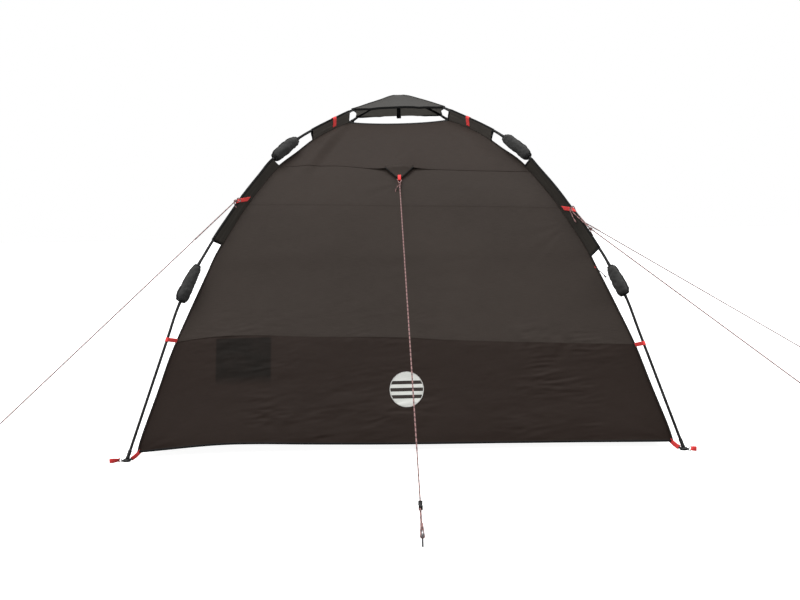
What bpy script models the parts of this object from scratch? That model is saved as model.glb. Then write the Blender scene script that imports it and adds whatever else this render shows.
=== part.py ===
# Pop-up fishing tent: four folding legs on a hub, a fabric body hung inside them, a top cap,
# guy lines with pegs and a loose groundsheet. Metres, +Z up. The back wall faces -Y, the doorway +Y.
# The origin is on the ground at the centre of the four feet.

import math

import bmesh
import bpy
from mathutils import Matrix, Vector

# Driving dimensions
FOOT_R = 1.200            # a foot's distance from the centre, along X and along Y
POLE_R = 0.00625          # radius of a leg tube
GAP = 0.0003              # clearance between touching solids
CLOTH = 0.003             # thickness that the fabric is modelled with
EDGE_TRIM = CLOTH + 0.0007 # how far a wall ends before the corner seam, beside the next wall
WEB_CLOTH = 0.003         # thickness of the webs that hang the body from the legs
HEM_Z = 0.030             # height of the walls' lower hem
SEAM_Z = 1.250            # height of the seam under the roof flaps
VENT_Z = 1.500            # height of the vent edge at its corners
VENT_DROP = 0.015         # how far the vent edge sags between its corners
CAP_R = 0.236             # half the side of the square top cap
ROOT2 = math.sqrt(2.0)

# The leg's centre line as (distance along X and along Y, height), from the hub to the ground
LEG_LINE = [(0.045, 1.6345), (0.100, 1.618), (0.160, 1.596), (0.240, 1.559), (0.330, 1.509),
            (0.420, 1.456), (0.501, 1.399), (0.603, 1.305), (0.655, 1.237), (0.724, 1.143),
            (0.783, 1.051), (0.840, 0.960), (0.890, 0.871), (0.925, 0.805), (0.995, 0.647),
            (1.050, 0.474), (FOOT_R, 0.003)]
UPPER_END = 0.501         # where the upper tube enters the upper knuckle
MIDDLE_START = 0.603
MIDDLE_END = 0.925        # where the middle tube enters the lower knuckle
LOWER_START = 0.995
LOWER_END = 1.190         # where the lower tube enters the foot

# The fabric body's corner seam as (height, distance along X and along Y)
RIDGE_LINE = [(HEM_Z, 1.159), (0.100, 1.140), (0.270, 1.081), (0.440, 1.024), (0.610, 0.954),
              (0.785, 0.878), (0.872, 0.840), (1.006, 0.766), (1.111, 0.701), (1.262, 0.586),
              (1.344, 0.491), (1.4146, 0.4075), (1.467, 0.319), (VENT_Z + 0.001, 0.246)]

# How far the middle of a wall hangs inside the line between its corners, by height
SAG_LINE = [(HEM_Z, 0.045), (0.450, 0.050), (0.850, 0.052), (SEAM_Z, 0.028), (VENT_Z, 0.010)]

# The cap's height along its diagonals, by distance along X and along Y
CAP_LINE = [(0.0, 1.6570), (0.054, 1.6495), (0.108, 1.6268), (0.157, 1.6067), (0.200, 1.5877),
            (CAP_R, 1.5707)]
CAP_CLOTH = 0.002

# Webs: where each starts and ends, on the leg's line and on the body's corner seam
UPPER_WEB = {"leg": (0.258, 0.4435), "seam_z": (1.4985, 1.3965)}
LOWER_WEB = {"leg": (0.607, 0.872), "seam_z": (1.262, 0.872)}

# Loose groundsheet inside the walls
SHEET_HALF = 0.88
SHEET_CLOTH = 0.003

# Doorway in the front wall
DOOR_HALF = 0.40
DOOR_SILL = 0.110
DOOR_TOP = 1.130
ROLL_R = 0.035

# Storage pocket inside the back wall
POCKET_X = (-0.83, -0.585)
POCKET_Z = (0.290, 0.485)
POCKET_CLOTH = 0.004

# Guy lines and pegs
GUY_R = 0.0018
PEG_R = 0.0035
PEG_TOP = 0.055
LEFT_GUY_R = 0.742        # where the left legs' guy lines are tied, on the leg's line
RIGHT_GUY_R = 0.825
MID_GUY_Z = 1.190         # where a wall's guy line is tied
NEAR_LEFT_PEG = (-1.80, -1.80)
NEAR_RIGHT_PEG = (1.92, -1.92)
FAR_LEFT_PEG = (-1.30, 2.25)
FAR_RIGHT_PEG = (1.30, 2.25)
BACK_PEG = (0.060, -2.50)
RIGHT_PEG = (2.52, 0.0)

CORNERS = {"back_left": (-1, -1), "back_right": (1, -1), "front_right": (1, 1), "front_left": (-1, 1)}
SIDES = {"back": 0, "right": 1, "front": 2, "left": 3}


# Scene and materials

def clear_scene():
    for obj in list(bpy.data.objects):
        bpy.data.objects.remove(obj, do_unlink=True)


def collection(name):
    group = bpy.data.collections.new(name)
    bpy.context.scene.collection.children.link(group)
    return group


def material(name, colour, roughness, metallic=0.0):
    mat = bpy.data.materials.new(name)
    mat.use_nodes = True
    shader = mat.node_tree.nodes["Principled BSDF"]
    shader.inputs["Base Color"].default_value = (*colour, 1.0)
    shader.inputs["Roughness"].default_value = roughness
    shader.inputs["Metallic"].default_value = metallic
    return mat


clear_scene()
TENT = collection("fishing_tent")
CUTTERS = collection("cutters")


def add_object(name, data, mat, group=TENT):
    obj = bpy.data.objects.new(name, data)
    group.objects.link(obj)
    data.materials.clear()
    data.materials.append(mat)
    return obj


# Smooth lines through the driving points

def fair_line(points, steps=12):
    """Catmull-Rom line through the points, as a dense list of (a, b)."""
    first = [2.0 * points[0][k] - points[1][k] for k in (0, 1)]
    last = [2.0 * points[-1][k] - points[-2][k] for k in (0, 1)]
    knots = [first] + [list(p) for p in points] + [last]
    line = []
    for i in range(1, len(knots) - 2):
        for step in range(steps):
            t = step / steps
            line.append(tuple(
                0.5 * (2.0 * knots[i][k] + (knots[i + 1][k] - knots[i - 1][k]) * t
                       + (2.0 * knots[i - 1][k] - 5.0 * knots[i][k] + 4.0 * knots[i + 1][k]
                          - knots[i + 2][k]) * t * t
                       + (3.0 * knots[i][k] - knots[i - 1][k] - 3.0 * knots[i + 1][k]
                          + knots[i + 2][k]) * t ** 3)
                for k in (0, 1)))
    line.append(tuple(points[-1]))
    return line


def read_line(line, a):
    """Value of a line at a, for a line that runs upwards in its first value."""
    if a <= line[0][0]:
        return line[0][1]
    for (a0, b0), (a1, b1) in zip(line, line[1:]):
        if a <= a1:
            return b0 + (b1 - b0) * (a - a0) / (a1 - a0)
    return line[-1][1]


LEG = fair_line(LEG_LINE)
RIDGE = fair_line(RIDGE_LINE)
SAG = fair_line(SAG_LINE)
CAP = fair_line(CAP_LINE)


def leg_stretch(start, end, count):
    """Points of the leg's centre line between two distances, as (distance, height)."""
    return [(start + (end - start) * i / (count - 1),
             read_line(LEG, start + (end - start) * i / (count - 1))) for i in range(count)]


def in_corner(corner, r, z):
    sign_x, sign_y = corner
    return Vector((sign_x * r, sign_y * r, z))


def leg_points(corner, start, end, count):
    return [in_corner(corner, r, z) for r, z in leg_stretch(start, end, count)]


# Tubes and curves

def curve_object(name, points, radius, mat, radii=None, sides=2):
    data = bpy.data.curves.new(name, "CURVE")
    data.dimensions = "3D"
    data.bevel_depth = radius
    data.bevel_resolution = sides
    data.use_fill_caps = True
    spline = data.splines.new("POLY")
    spline.points.add(len(points) - 1)
    for i, (point, place) in enumerate(zip(spline.points, points)):
        point.co = (*place, 1.0)
        point.radius = radii[i] if radii else 1.0
    spline.use_smooth = True
    return add_object(name, data, mat)


def as_mesh(obj):
    """The same object as a welded mesh, so that it can be joined or cut."""
    graph = bpy.context.evaluated_depsgraph_get()
    graph.update()
    mesh = bpy.data.meshes.new_from_object(obj.evaluated_get(graph))
    bm = bmesh.new()
    bm.from_mesh(mesh)
    bmesh.ops.remove_doubles(bm, verts=bm.verts, dist=1e-6)
    bm.to_mesh(mesh)
    bm.free()
    name = obj.name
    mat = obj.data.materials[0]
    place = obj.matrix_world.copy()
    group = obj.users_collection[0]
    bpy.data.objects.remove(obj, do_unlink=True)
    mesh.name = name
    new = add_object(name, mesh, mat, group)
    new.matrix_world = place
    return new


def boolean(target, tool, operation):
    """Cut or join the tool into the target, and put the tool away."""
    CUTTERS.objects.link(tool)
    TENT.objects.unlink(tool)
    tool.hide_render = True
    tool.display_type = "WIRE"
    step = target.modifiers.new(operation.lower(), "BOOLEAN")
    step.operation = operation
    step.solver = "EXACT"
    step.object = tool


# The fabric body's surfaces

def turn(side):
    """Turns a piece made on the back of the tent to one of its four sides."""
    return Matrix.Rotation(math.radians(90.0 * side), 4, "Z")


def wall_point(u, z, inset=0.0):
    """A point of the back wall: u runs from -1 to 1 between its corner seams."""
    r = read_line(RIDGE, z)
    depth = r - read_line(SAG, z) * (1.0 - u * u) - inset
    return Vector((u * (r - EDGE_TRIM - inset), -depth, z))


def wall_normal(u, z):
    step = 0.004
    along = wall_point(min(u + step, 1.0), z) - wall_point(max(u - step, -1.0), z)
    up = wall_point(u, z + step) - wall_point(u, z - step)
    return along.cross(up).normalized()


def sheet(name, place, columns, rows, thickness, mat, side=0, hips=False):
    """A grid laid on place(a, b), with a and b from 0 to 1, thickened to a closed solid.
    With hips, the grid's squares are split along its two diagonals, where the sheet is creased."""
    bm = bmesh.new()
    bmesh.ops.create_grid(bm, x_segments=columns, y_segments=rows, size=0.5)
    if hips:
        crease = [vert for vert in bm.verts if abs(abs(vert.co.x) - abs(vert.co.y)) < 1e-5]
        bmesh.ops.connect_verts(bm, verts=crease)
    for vert in bm.verts:
        vert.co = place(vert.co.x + 0.5, vert.co.y + 0.5)
    mesh = bpy.data.meshes.new(name)
    bm.to_mesh(mesh)
    bm.free()
    mesh.shade_smooth()
    obj = add_object(name, mesh, mat)
    obj.matrix_world = turn(side)
    solid = obj.modifiers.new("thickness", "SOLIDIFY")
    solid.thickness = thickness
    return obj


# Frame: hub, leg tubes, knuckle covers and feet

def build_hub(mat):
    bm = bmesh.new()
    body_top = 1.6455
    body_bottom = 1.606
    radius = 0.044
    height = body_top - body_bottom
    middle = Matrix.Translation((0.0, 0.0, (body_top + body_bottom) / 2.0))
    bmesh.ops.create_cone(bm, cap_ends=True, segments=24, radius1=radius, radius2=radius,
                          depth=height, matrix=middle)
    mesh = bpy.data.meshes.new("hub")
    bm.to_mesh(mesh)
    bm.free()
    hub = add_object("hub", mesh, mat)
    for name, corner in CORNERS.items():
        inner, outer = leg_points(corner, LEG_LINE[0][0], UPPER_END, 12)[:2]
        run = (outer - inner).normalized()
        socket = curve_object("hub_socket_" + name, [inner - run * 0.035, inner - run * GAP], 0.0092, mat)
        boolean(hub, as_mesh(socket), "UNION")
    pull_width = 0.014
    pull_thick = 0.005
    pull_top = body_bottom + 0.004
    pull_bottom = 1.533
    bm = bmesh.new()
    size = Matrix.Diagonal((pull_width, pull_thick, pull_top - pull_bottom, 1.0))
    bmesh.ops.create_cube(bm, size=1.0, matrix=Matrix.Translation(
        (0.0, 0.0, (pull_top + pull_bottom) / 2.0)) @ size)
    mesh = bpy.data.meshes.new("hub_pull")
    bm.to_mesh(mesh)
    bm.free()
    boolean(hub, add_object("hub_pull", mesh, mat), "UNION")
    return hub


def build_leg(name, corner, tube_mat, cover_mat, foot_mat):
    upper = leg_points(corner, LEG_LINE[0][0], UPPER_END, 12)
    middle = leg_points(corner, MIDDLE_START, MIDDLE_END, 10)
    lower = leg_points(corner, LOWER_START, LOWER_END, 3)
    curve_object(name + "_upper_pole", upper, POLE_R, tube_mat)
    curve_object(name + "_middle_pole", middle, POLE_R, tube_mat)
    curve_object(name + "_lower_pole", lower, POLE_R, tube_mat)
    build_knuckle(name + "_upper_knuckle", upper, middle, 0.027, cover_mat)
    build_knuckle(name + "_lower_knuckle", middle, lower, 0.029, cover_mat)
    build_foot(name + "_foot", corner, lower, foot_mat)


def build_knuckle(name, above, below, radius, mat):
    """Padded cover round a folding joint: it bulges to the outside of the leg."""
    push = 0.012
    neck = 0.010
    first = (above[-1] - above[-2]).normalized()
    last = (below[1] - below[0]).normalized()
    a = above[-1] + first * GAP
    b = below[0] - last * GAP
    run = b - a
    out = Vector((a.x, a.y, 0.0)).normalized()
    out = (out - run.normalized() * out.dot(run.normalized())).normalized()
    shape = [(0.20, 0.92), (0.40, 1.0), (0.62, 0.98), (0.80, 0.86)]
    points = [a, a + first * neck]
    points += [a + run * share + out * push * math.sin(math.pi * share) for share, _ in shape]
    points += [b - last * neck, b]
    radii = [0.56, 0.70] + [r for _, r in shape] + [0.70, 0.56]
    return curve_object(name, points, radius, mat, radii=radii, sides=4)


def build_foot(name, corner, tube, mat):
    """Black end fitting: a socket in line with the tube, on a round pad."""
    pad_r = 0.017
    pad_z = 0.012
    run = (tube[-1] - tube[-2]).normalized()
    start = tube[-1] + run * GAP
    end = start + run * 0.024
    socket = curve_object(name, [start, end], 0.0095, mat)
    foot = as_mesh(socket)
    bm = bmesh.new()
    centre = in_corner(corner, FOOT_R - 0.001, pad_z / 2.0)
    bmesh.ops.create_cone(bm, cap_ends=True, segments=20, radius1=pad_r, radius2=pad_r * 0.8,
                          depth=pad_z, matrix=Matrix.Translation(centre))
    mesh = bpy.data.meshes.new(name + "_pad")
    bm.to_mesh(mesh)
    bm.free()
    boolean(foot, add_object(name + "_pad", mesh, mat), "UNION")
    return foot


# Webs between the legs and the body's corner seams

def build_web(name, corner, web, mat):
    """A flat strip of fabric in the leg's own plane, from the corner seam out to the tube."""
    count = 9
    edge_gap = POLE_R + 0.0006
    leg = leg_stretch(web["leg"][0], web["leg"][1], count)
    outer = []
    for i, (r, z) in enumerate(leg):
        before = leg[max(i - 1, 0)]
        after = leg[min(i + 1, count - 1)]
        along = Vector(((after[0] - before[0]) * ROOT2, after[1] - before[1])).normalized()
        outer.append(Vector((r * ROOT2, z)) + Vector((along.y, -along.x)) * edge_gap)
    top, bottom = web["seam_z"]
    inner = []
    for i in range(count):
        z = bottom + (top - bottom) * i / (count - 1)
        inner.append(Vector(((read_line(RIDGE, z) - CLOTH / 2.0) * ROOT2, z)))
    data = bpy.data.curves.new(name, "CURVE")
    data.dimensions = "2D"
    data.fill_mode = "BOTH"
    data.extrude = WEB_CLOTH / 2.0
    spline = data.splines.new("POLY")
    outline = outer + inner
    spline.points.add(len(outline) - 1)
    for point, place in zip(spline.points, outline):
        point.co = (place.x, place.y, 0.0, 1.0)
    spline.use_cyclic_u = True
    web_object = add_object(name, data, mat)
    angle = math.atan2(corner[1], corner[0])
    web_object.matrix_world = Matrix.Rotation(angle, 4, "Z") @ Matrix.Rotation(math.pi / 2.0, 4, "X")
    return web_object


# Fabric: walls, roof flaps, cap, groundsheet and pocket

def build_wall(side_name, mat):
    def place(a, b):
        return wall_point(2.0 * a - 1.0, HEM_Z + (SEAM_Z - GAP - HEM_Z) * b)
    return sheet(side_name + "_wall", place, 12, 14, CLOTH, mat, SIDES[side_name])


def build_roof_flap(side_name, mat):
    def place(a, b):
        u = 2.0 * a - 1.0
        top = VENT_Z - VENT_DROP * (1.0 - u * u)
        bottom = SEAM_Z + GAP
        return wall_point(u, bottom + (top - bottom) * b)
    return sheet(side_name + "_roof_flap", place, 10, 5, CLOTH, mat, SIDES[side_name])


def build_cap(mat):
    hem_dip = 0.003
    hem_pull = 0.012

    def place(a, b):
        x = (2.0 * a - 1.0) * CAP_R
        y = (2.0 * b - 1.0) * CAP_R
        far = max(abs(x), abs(y))
        near = min(abs(x), abs(y))
        share = 1.0 - (near / far) ** 2 if far > 0.0 else 0.0
        pull = 1.0 - hem_pull / CAP_R * share * far / CAP_R
        height = read_line(CAP, far) - hem_dip * share * far / CAP_R
        return Vector((x * pull, y * pull, height))
    return sheet("top_cap", place, 10, 10, CAP_CLOTH, mat, hips=True)


def build_groundsheet(mat):
    """A square sheet that lies loose on the ground, with its underside at the feet's level."""
    side = 2.0 * SHEET_HALF
    place = Matrix.Translation((0.0, 0.0, SHEET_CLOTH / 2.0)) @ Matrix.Diagonal((side, side, SHEET_CLOTH, 1.0))
    bm = bmesh.new()
    bmesh.ops.create_cube(bm, size=1.0, matrix=place)
    mesh = bpy.data.meshes.new("groundsheet")
    bm.to_mesh(mesh)
    bm.free()
    return add_object("groundsheet", mesh, mat)


def build_pocket(mat):
    facet_gap = 0.0010

    def place(a, b):
        x = POCKET_X[0] + (POCKET_X[1] - POCKET_X[0]) * a
        z = POCKET_Z[0] + (POCKET_Z[1] - POCKET_Z[0]) * b
        u = x / (read_line(RIDGE, z) - EDGE_TRIM)
        return wall_point(u, z) - wall_normal(u, z) * (CLOTH + facet_gap)
    return sheet("storage_pocket", place, 4, 3, POCKET_CLOTH, mat)


# Doorway in the front wall and its rolled door

def door_outline(count):
    """Half outline of the doorway in the wall's own plane: straight jambs and a round head."""
    spring_z = DOOR_TOP - DOOR_HALF
    corner = 0.08
    points = []
    for i in range(5):
        angle = math.pi / 2.0 * i / 4
        points.append((DOOR_HALF - corner + corner * math.sin(angle),
                       DOOR_SILL + corner - corner * math.cos(angle)))
    for i in range(count):
        angle = math.pi / 2.0 * i / (count - 1)
        points.append((DOOR_HALF * math.cos(angle), spring_z + DOOR_HALF * math.sin(angle)))
    return points


def cut_doorway(wall, mat):
    half = door_outline(8)
    outline = half + [(-x, z) for x, z in reversed(half[:-1])]
    data = bpy.data.curves.new("doorway_cutter", "CURVE")
    data.dimensions = "2D"
    data.fill_mode = "BOTH"
    data.extrude = 0.60
    spline = data.splines.new("POLY")
    spline.points.add(len(outline) - 1)
    for point, (x, z) in zip(spline.points, outline):
        point.co = (x, z, 0.0, 1.0)
    spline.use_cyclic_u = True
    cutter = add_object("doorway_cutter", data, mat)
    cutter.matrix_world = Matrix.Translation((0.0, 0.9, 0.0)) @ Matrix.Rotation(math.pi / 2.0, 4, "X")
    boolean(wall, as_mesh(cutter), "DIFFERENCE")


def build_rolled_door(mat):
    """The door, rolled up and tied beside the doorway, outside the wall."""
    clearance = ROLL_R + 0.0012
    points = []
    for i in range(12):
        z = DOOR_SILL + 0.03 + (1.02 - DOOR_SILL) * i / 11
        x = -(DOOR_HALF + 0.055) + 0.10 * max(0.0, (z - 0.70) / 0.45) ** 2
        u = x / (read_line(RIDGE, z) - EDGE_TRIM)
        points.append(turn(2) @ (wall_point(u, z) + wall_normal(u, z) * clearance))
    return curve_object("rolled_door", points, ROLL_R, mat, sides=4)


# Guy lines with their pegs

def build_guy(name, start, peg, mat):
    """A taut line from its tie point to the hook of a peg in the ground."""
    ground = Vector((peg[0], peg[1], 0.0))
    away = Vector((peg[0] - start.x, peg[1] - start.y, 0.0)).normalized()
    hook = ground + Vector((0.0, 0.0, PEG_TOP * 0.6))
    line = as_mesh(curve_object(name, [start, hook], GUY_R, mat))
    shaft = [ground, ground + Vector((0.0, 0.0, PEG_TOP * 0.8)),
             ground + away * 0.006 + Vector((0.0, 0.0, PEG_TOP)),
             ground + away * 0.020 + Vector((0.0, 0.0, PEG_TOP)),
             ground + away * 0.026 + Vector((0.0, 0.0, PEG_TOP * 0.8))]
    boolean(line, as_mesh(curve_object(name + "_peg", shaft, PEG_R, mat)), "UNION")
    return line


def build_guys(mat):
    pegs = {"back_left": NEAR_LEFT_PEG, "back_right": NEAR_RIGHT_PEG,
            "front_right": FAR_RIGHT_PEG, "front_left": FAR_LEFT_PEG}
    step = 0.01
    for name, corner in CORNERS.items():
        tie_r = LEFT_GUY_R if corner[0] < 0 else RIGHT_GUY_R
        tie_z = read_line(LEG, tie_r)
        slope = (read_line(LEG, tie_r + step) - tie_z) / (step * ROOT2)
        out_and_up = Vector((-slope, 1.0)).normalized() * (POLE_R + GUY_R + 0.0005)
        tie = in_corner(corner, tie_r + out_and_up.x / ROOT2, tie_z + out_and_up.y)
        build_guy(name + "_guy_line", tie, pegs[name], mat)
    tie_gap = 0.0013
    for name, side, peg in (("back_guy_line", 0, BACK_PEG), ("right_guy_line", 1, RIGHT_PEG)):
        tie = turn(side) @ (wall_point(0.0, MID_GUY_Z) + wall_normal(0.0, MID_GUY_Z) * tie_gap)
        build_guy(name, tie, peg, mat)


# Assembly

def build_tent():
    tube = material("dark_tube", (0.03, 0.03, 0.032), 0.35, 0.2)
    black = material("black_plastic", (0.02, 0.02, 0.02), 0.5)
    fabric = material("grey_fabric", (0.06, 0.055, 0.05), 0.85)
    cap_fabric = material("cap_fabric", (0.08, 0.077, 0.07), 0.85)
    padding = material("knuckle_fabric", (0.045, 0.045, 0.043), 0.8)
    floor = material("groundsheet", (0.30, 0.31, 0.32), 0.6)
    cord = material("guy_cord", (0.6, 0.1, 0.1), 0.8)

    build_hub(black)
    for name, corner in CORNERS.items():
        build_leg(name, corner, tube, padding, black)
        build_web(name + "_upper_web", corner, UPPER_WEB, fabric)
        build_web(name + "_lower_web", corner, LOWER_WEB, fabric)
    for side_name in SIDES:
        wall = build_wall(side_name, fabric)
        build_roof_flap(side_name, fabric)
        if side_name == "front":
            cut_doorway(wall, fabric)
    build_cap(cap_fabric)
    build_groundsheet(floor)
    build_pocket(fabric)
    build_rolled_door(fabric)
    build_guys(cord)


build_tent()
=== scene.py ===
# Pop-up fishing tent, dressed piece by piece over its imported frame.
# Metres, +Z up, the back wall faces -Y and the doorway +Y, with the origin on the ground at the
# centre of the four feet.

import math
from bisect import bisect_right

import bmesh
import bpy
from mathutils import Matrix, Vector, noise


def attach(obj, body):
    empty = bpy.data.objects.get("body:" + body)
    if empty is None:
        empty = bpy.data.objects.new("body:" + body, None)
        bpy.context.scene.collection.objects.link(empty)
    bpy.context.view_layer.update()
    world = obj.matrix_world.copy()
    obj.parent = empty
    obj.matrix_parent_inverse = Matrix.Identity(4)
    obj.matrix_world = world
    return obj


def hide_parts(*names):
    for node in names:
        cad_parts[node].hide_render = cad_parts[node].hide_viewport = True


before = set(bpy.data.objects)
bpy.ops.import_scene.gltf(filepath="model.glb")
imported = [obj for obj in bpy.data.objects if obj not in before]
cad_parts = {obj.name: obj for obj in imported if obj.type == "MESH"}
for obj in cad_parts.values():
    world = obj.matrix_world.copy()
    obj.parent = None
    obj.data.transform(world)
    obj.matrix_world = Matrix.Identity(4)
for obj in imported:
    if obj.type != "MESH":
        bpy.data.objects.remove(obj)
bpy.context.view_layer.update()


# Studio
# A pale seamless floor under soft light from above and in front, and the camera: a 50 mm lens
# about six metres behind the tent, a metre above the ground.

CAMERA_PLACE = (0.0374, -5.9131, 1.0553)
CAMERA_YAW = math.radians(-0.518)
CAMERA_PITCH = math.radians(-4.64)
CAMERA_ROLL = math.radians(-1.321)


def stand(name, data):
    """An object of its own in the scene."""
    made = bpy.data.objects.new(name, data)
    bpy.context.scene.collection.objects.link(made)
    return made


def mesh_of(name, bm):
    """The mesh that a bmesh has built, with the bmesh freed."""
    mesh = bpy.data.meshes.new(name)
    bm.to_mesh(mesh)
    bm.free()
    return mesh


lens = bpy.data.cameras.new("camera")
lens.lens = 50.0
lens.sensor_width = 36.0
camera = stand("camera", lens)
ahead = Vector((math.sin(CAMERA_YAW) * math.cos(CAMERA_PITCH),
                math.cos(CAMERA_YAW) * math.cos(CAMERA_PITCH), math.sin(CAMERA_PITCH)))
level = Vector((math.cos(CAMERA_YAW), -math.sin(CAMERA_YAW), 0.0))
upright = level.cross(ahead)
across = level * math.cos(CAMERA_ROLL) + upright * math.sin(CAMERA_ROLL)
over = upright * math.cos(CAMERA_ROLL) - level * math.sin(CAMERA_ROLL)
camera.matrix_world = Matrix.Translation(CAMERA_PLACE) @ Matrix((across, over, -ahead)).transposed().to_4x4()
bpy.context.scene.camera = camera


def area_light(name, place, target, width, height, power):
    data = bpy.data.lights.new(name, "AREA")
    data.shape = "RECTANGLE"
    data.size = width
    data.size_y = height
    data.energy = power
    light = stand(name, data)
    light.location = place
    light.rotation_euler = (Vector(target) - Vector(place)).to_track_quat("-Z", "Y").to_euler()


area_light("front", (-0.9, -5.0, 3.0), (-0.1, -0.9, 0.9), 2.4, 2.0, 45.0)
area_light("right", (3.3, -2.1, 2.4), (-0.5, -0.7, 1.2), 1.6, 1.6, 46.0)
area_light("left", (-3.3, -3.4, 2.6), (-0.9, -1.0, 0.7), 2.0, 2.0, 46.0)
area_light("far_side", (3.5, 6.0, 3.6), (0.0, 0.0, 0.8), 3.5, 2.5, 80.0)
overhead = bpy.data.lights.new("overhead", "SUN")
overhead.energy = 2.15
overhead.angle = math.radians(40.0)
stand("overhead", overhead).rotation_euler = Vector((0.20, 0.26, -1.0)).to_track_quat("-Z", "Y").to_euler()

world = bpy.data.worlds.new("studio")
world.use_nodes = True
sky = world.node_tree
SEEN_WHITE = 1.0
BELOW = (-0.15, 0.20)      # the sky's light just under the horizon: height and strength
ABOVE = (0.9, 0.75)        # and the same nearly overhead
backdrop = sky.nodes["Background"]
backdrop.inputs["Color"].default_value = (1.0, 1.0, 1.0, 1.0)
direction = sky.nodes.new("ShaderNodeTexCoord")
height_of = sky.nodes.new("ShaderNodeSeparateXYZ")
graded = sky.nodes.new("ShaderNodeMapRange")
for end, (height, light) in (("Min", BELOW), ("Max", ABOVE)):
    graded.inputs["From " + end].default_value = height
    graded.inputs["To " + end].default_value = light
seen = sky.nodes.new("ShaderNodeLightPath")
strength = sky.nodes.new("ShaderNodeMapRange")
strength.inputs["To Max"].default_value = SEEN_WHITE
sky.links.new(direction.outputs["Generated"], height_of.inputs[0])
sky.links.new(height_of.outputs["Z"], graded.inputs["Value"])
sky.links.new(graded.outputs[0], strength.inputs["To Min"])
sky.links.new(seen.outputs["Is Camera Ray"], strength.inputs["Value"])
sky.links.new(strength.outputs[0], backdrop.inputs["Strength"])
bpy.context.scene.world = world
bpy.context.scene.view_settings.view_transform = "Standard"

FLOOR_HALF = 40.0
floor_bm = bmesh.new()
bmesh.ops.create_grid(floor_bm, x_segments=1, y_segments=1, size=FLOOR_HALF)
floor = stand("floor", mesh_of("floor", floor_bm))
floor_paint = bpy.data.materials.new("pale_floor")
floor_paint.use_nodes = True
paint = floor_paint.node_tree.nodes["Principled BSDF"].inputs
paint["Base Color"].default_value = (0.60, 0.60, 0.60, 1.0)
paint["Roughness"].default_value = 0.9
paint["Emission Color"].default_value = (1.0, 1.0, 1.0, 1.0)
paint["Emission Strength"].default_value = 0.93
floor.data.materials.append(floor_paint)
floor.visible_diffuse = False
floor.visible_glossy = False


# Leg tubes
# Each leg is three black powder-coated tubes, 12.5 mm across: a sprung upper one that the hub bends
# into an arch, a middle one and a straight lower one, with a crimped ferrule where each meets a knuckle.

CORNERS = {"back_left": (-1, -1), "back_right": (1, -1), "front_right": (1, 1), "front_left": (-1, 1)}
ROOT2 = math.sqrt(2.0)
LEG_LINE = [(0.045, 1.6345), (0.100, 1.618), (0.160, 1.596), (0.240, 1.559), (0.330, 1.509),
            (0.420, 1.456), (0.501, 1.399), (0.603, 1.305), (0.655, 1.237), (0.724, 1.143),
            (0.783, 1.051), (0.840, 0.960), (0.890, 0.871), (0.925, 0.805), (0.995, 0.647),
            (1.050, 0.474), (1.200, 0.003)]
HUB_END = 0.045
FOOT_END = 1.190
TUBE_R = 0.00625

# Where each leg's knuckles start and end along it: the near legs are folded open a little unevenly
KNUCKLES = {"back_left": ((0.495, 0.592), (0.915, 0.985)), "back_right": ((0.511, 0.614), (0.936, 0.990)),
            "front_right": ((0.501, 0.603), (0.925, 0.995)), "front_left": ((0.501, 0.603), (0.925, 0.995))}


def fair_line(points, steps=12):
    """Smooth line through the points, as a dense list of (a, b)."""
    first = [2.0 * points[0][k] - points[1][k] for k in (0, 1)]
    last = [2.0 * points[-1][k] - points[-2][k] for k in (0, 1)]
    knots = [first] + [list(p) for p in points] + [last]
    line = []
    for i in range(1, len(knots) - 2):
        for step in range(steps):
            t = step / steps
            line.append(tuple(
                0.5 * (2.0 * knots[i][k] + (knots[i + 1][k] - knots[i - 1][k]) * t
                       + (2.0 * knots[i - 1][k] - 5.0 * knots[i][k] + 4.0 * knots[i + 1][k]
                          - knots[i + 2][k]) * t * t
                       + (3.0 * knots[i][k] - knots[i - 1][k] - 3.0 * knots[i + 1][k]
                          + knots[i + 2][k]) * t ** 3)
                for k in (0, 1)))
    line.append(tuple(points[-1]))
    return line


def reader(line):
    """A function that reads a line that runs upwards in its first value."""
    keys = [a for a, _ in line]

    def read(a):
        if a <= keys[0]:
            return line[0][1]
        if a >= keys[-1]:
            return line[-1][1]
        i = bisect_right(keys, a)
        (a0, b0), (a1, b1) = line[i - 1], line[i]
        return b0 + (b1 - b0) * (a - a0) / (a1 - a0)
    return read


leg_height = reader(fair_line(LEG_LINE))


def leg_point(corner, r, lift=0.0):
    return Vector((corner[0] * r, corner[1] * r, leg_height(r) + lift))


def leg_run(corner, start, end, count):
    return [leg_point(corner, start + (end - start) * i / (count - 1)) for i in range(count)]


def ring_section(radius, sides):
    return [(radius * math.cos(math.tau * i / sides), radius * math.sin(math.tau * i / sides))
            for i in range(sides)]


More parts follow.
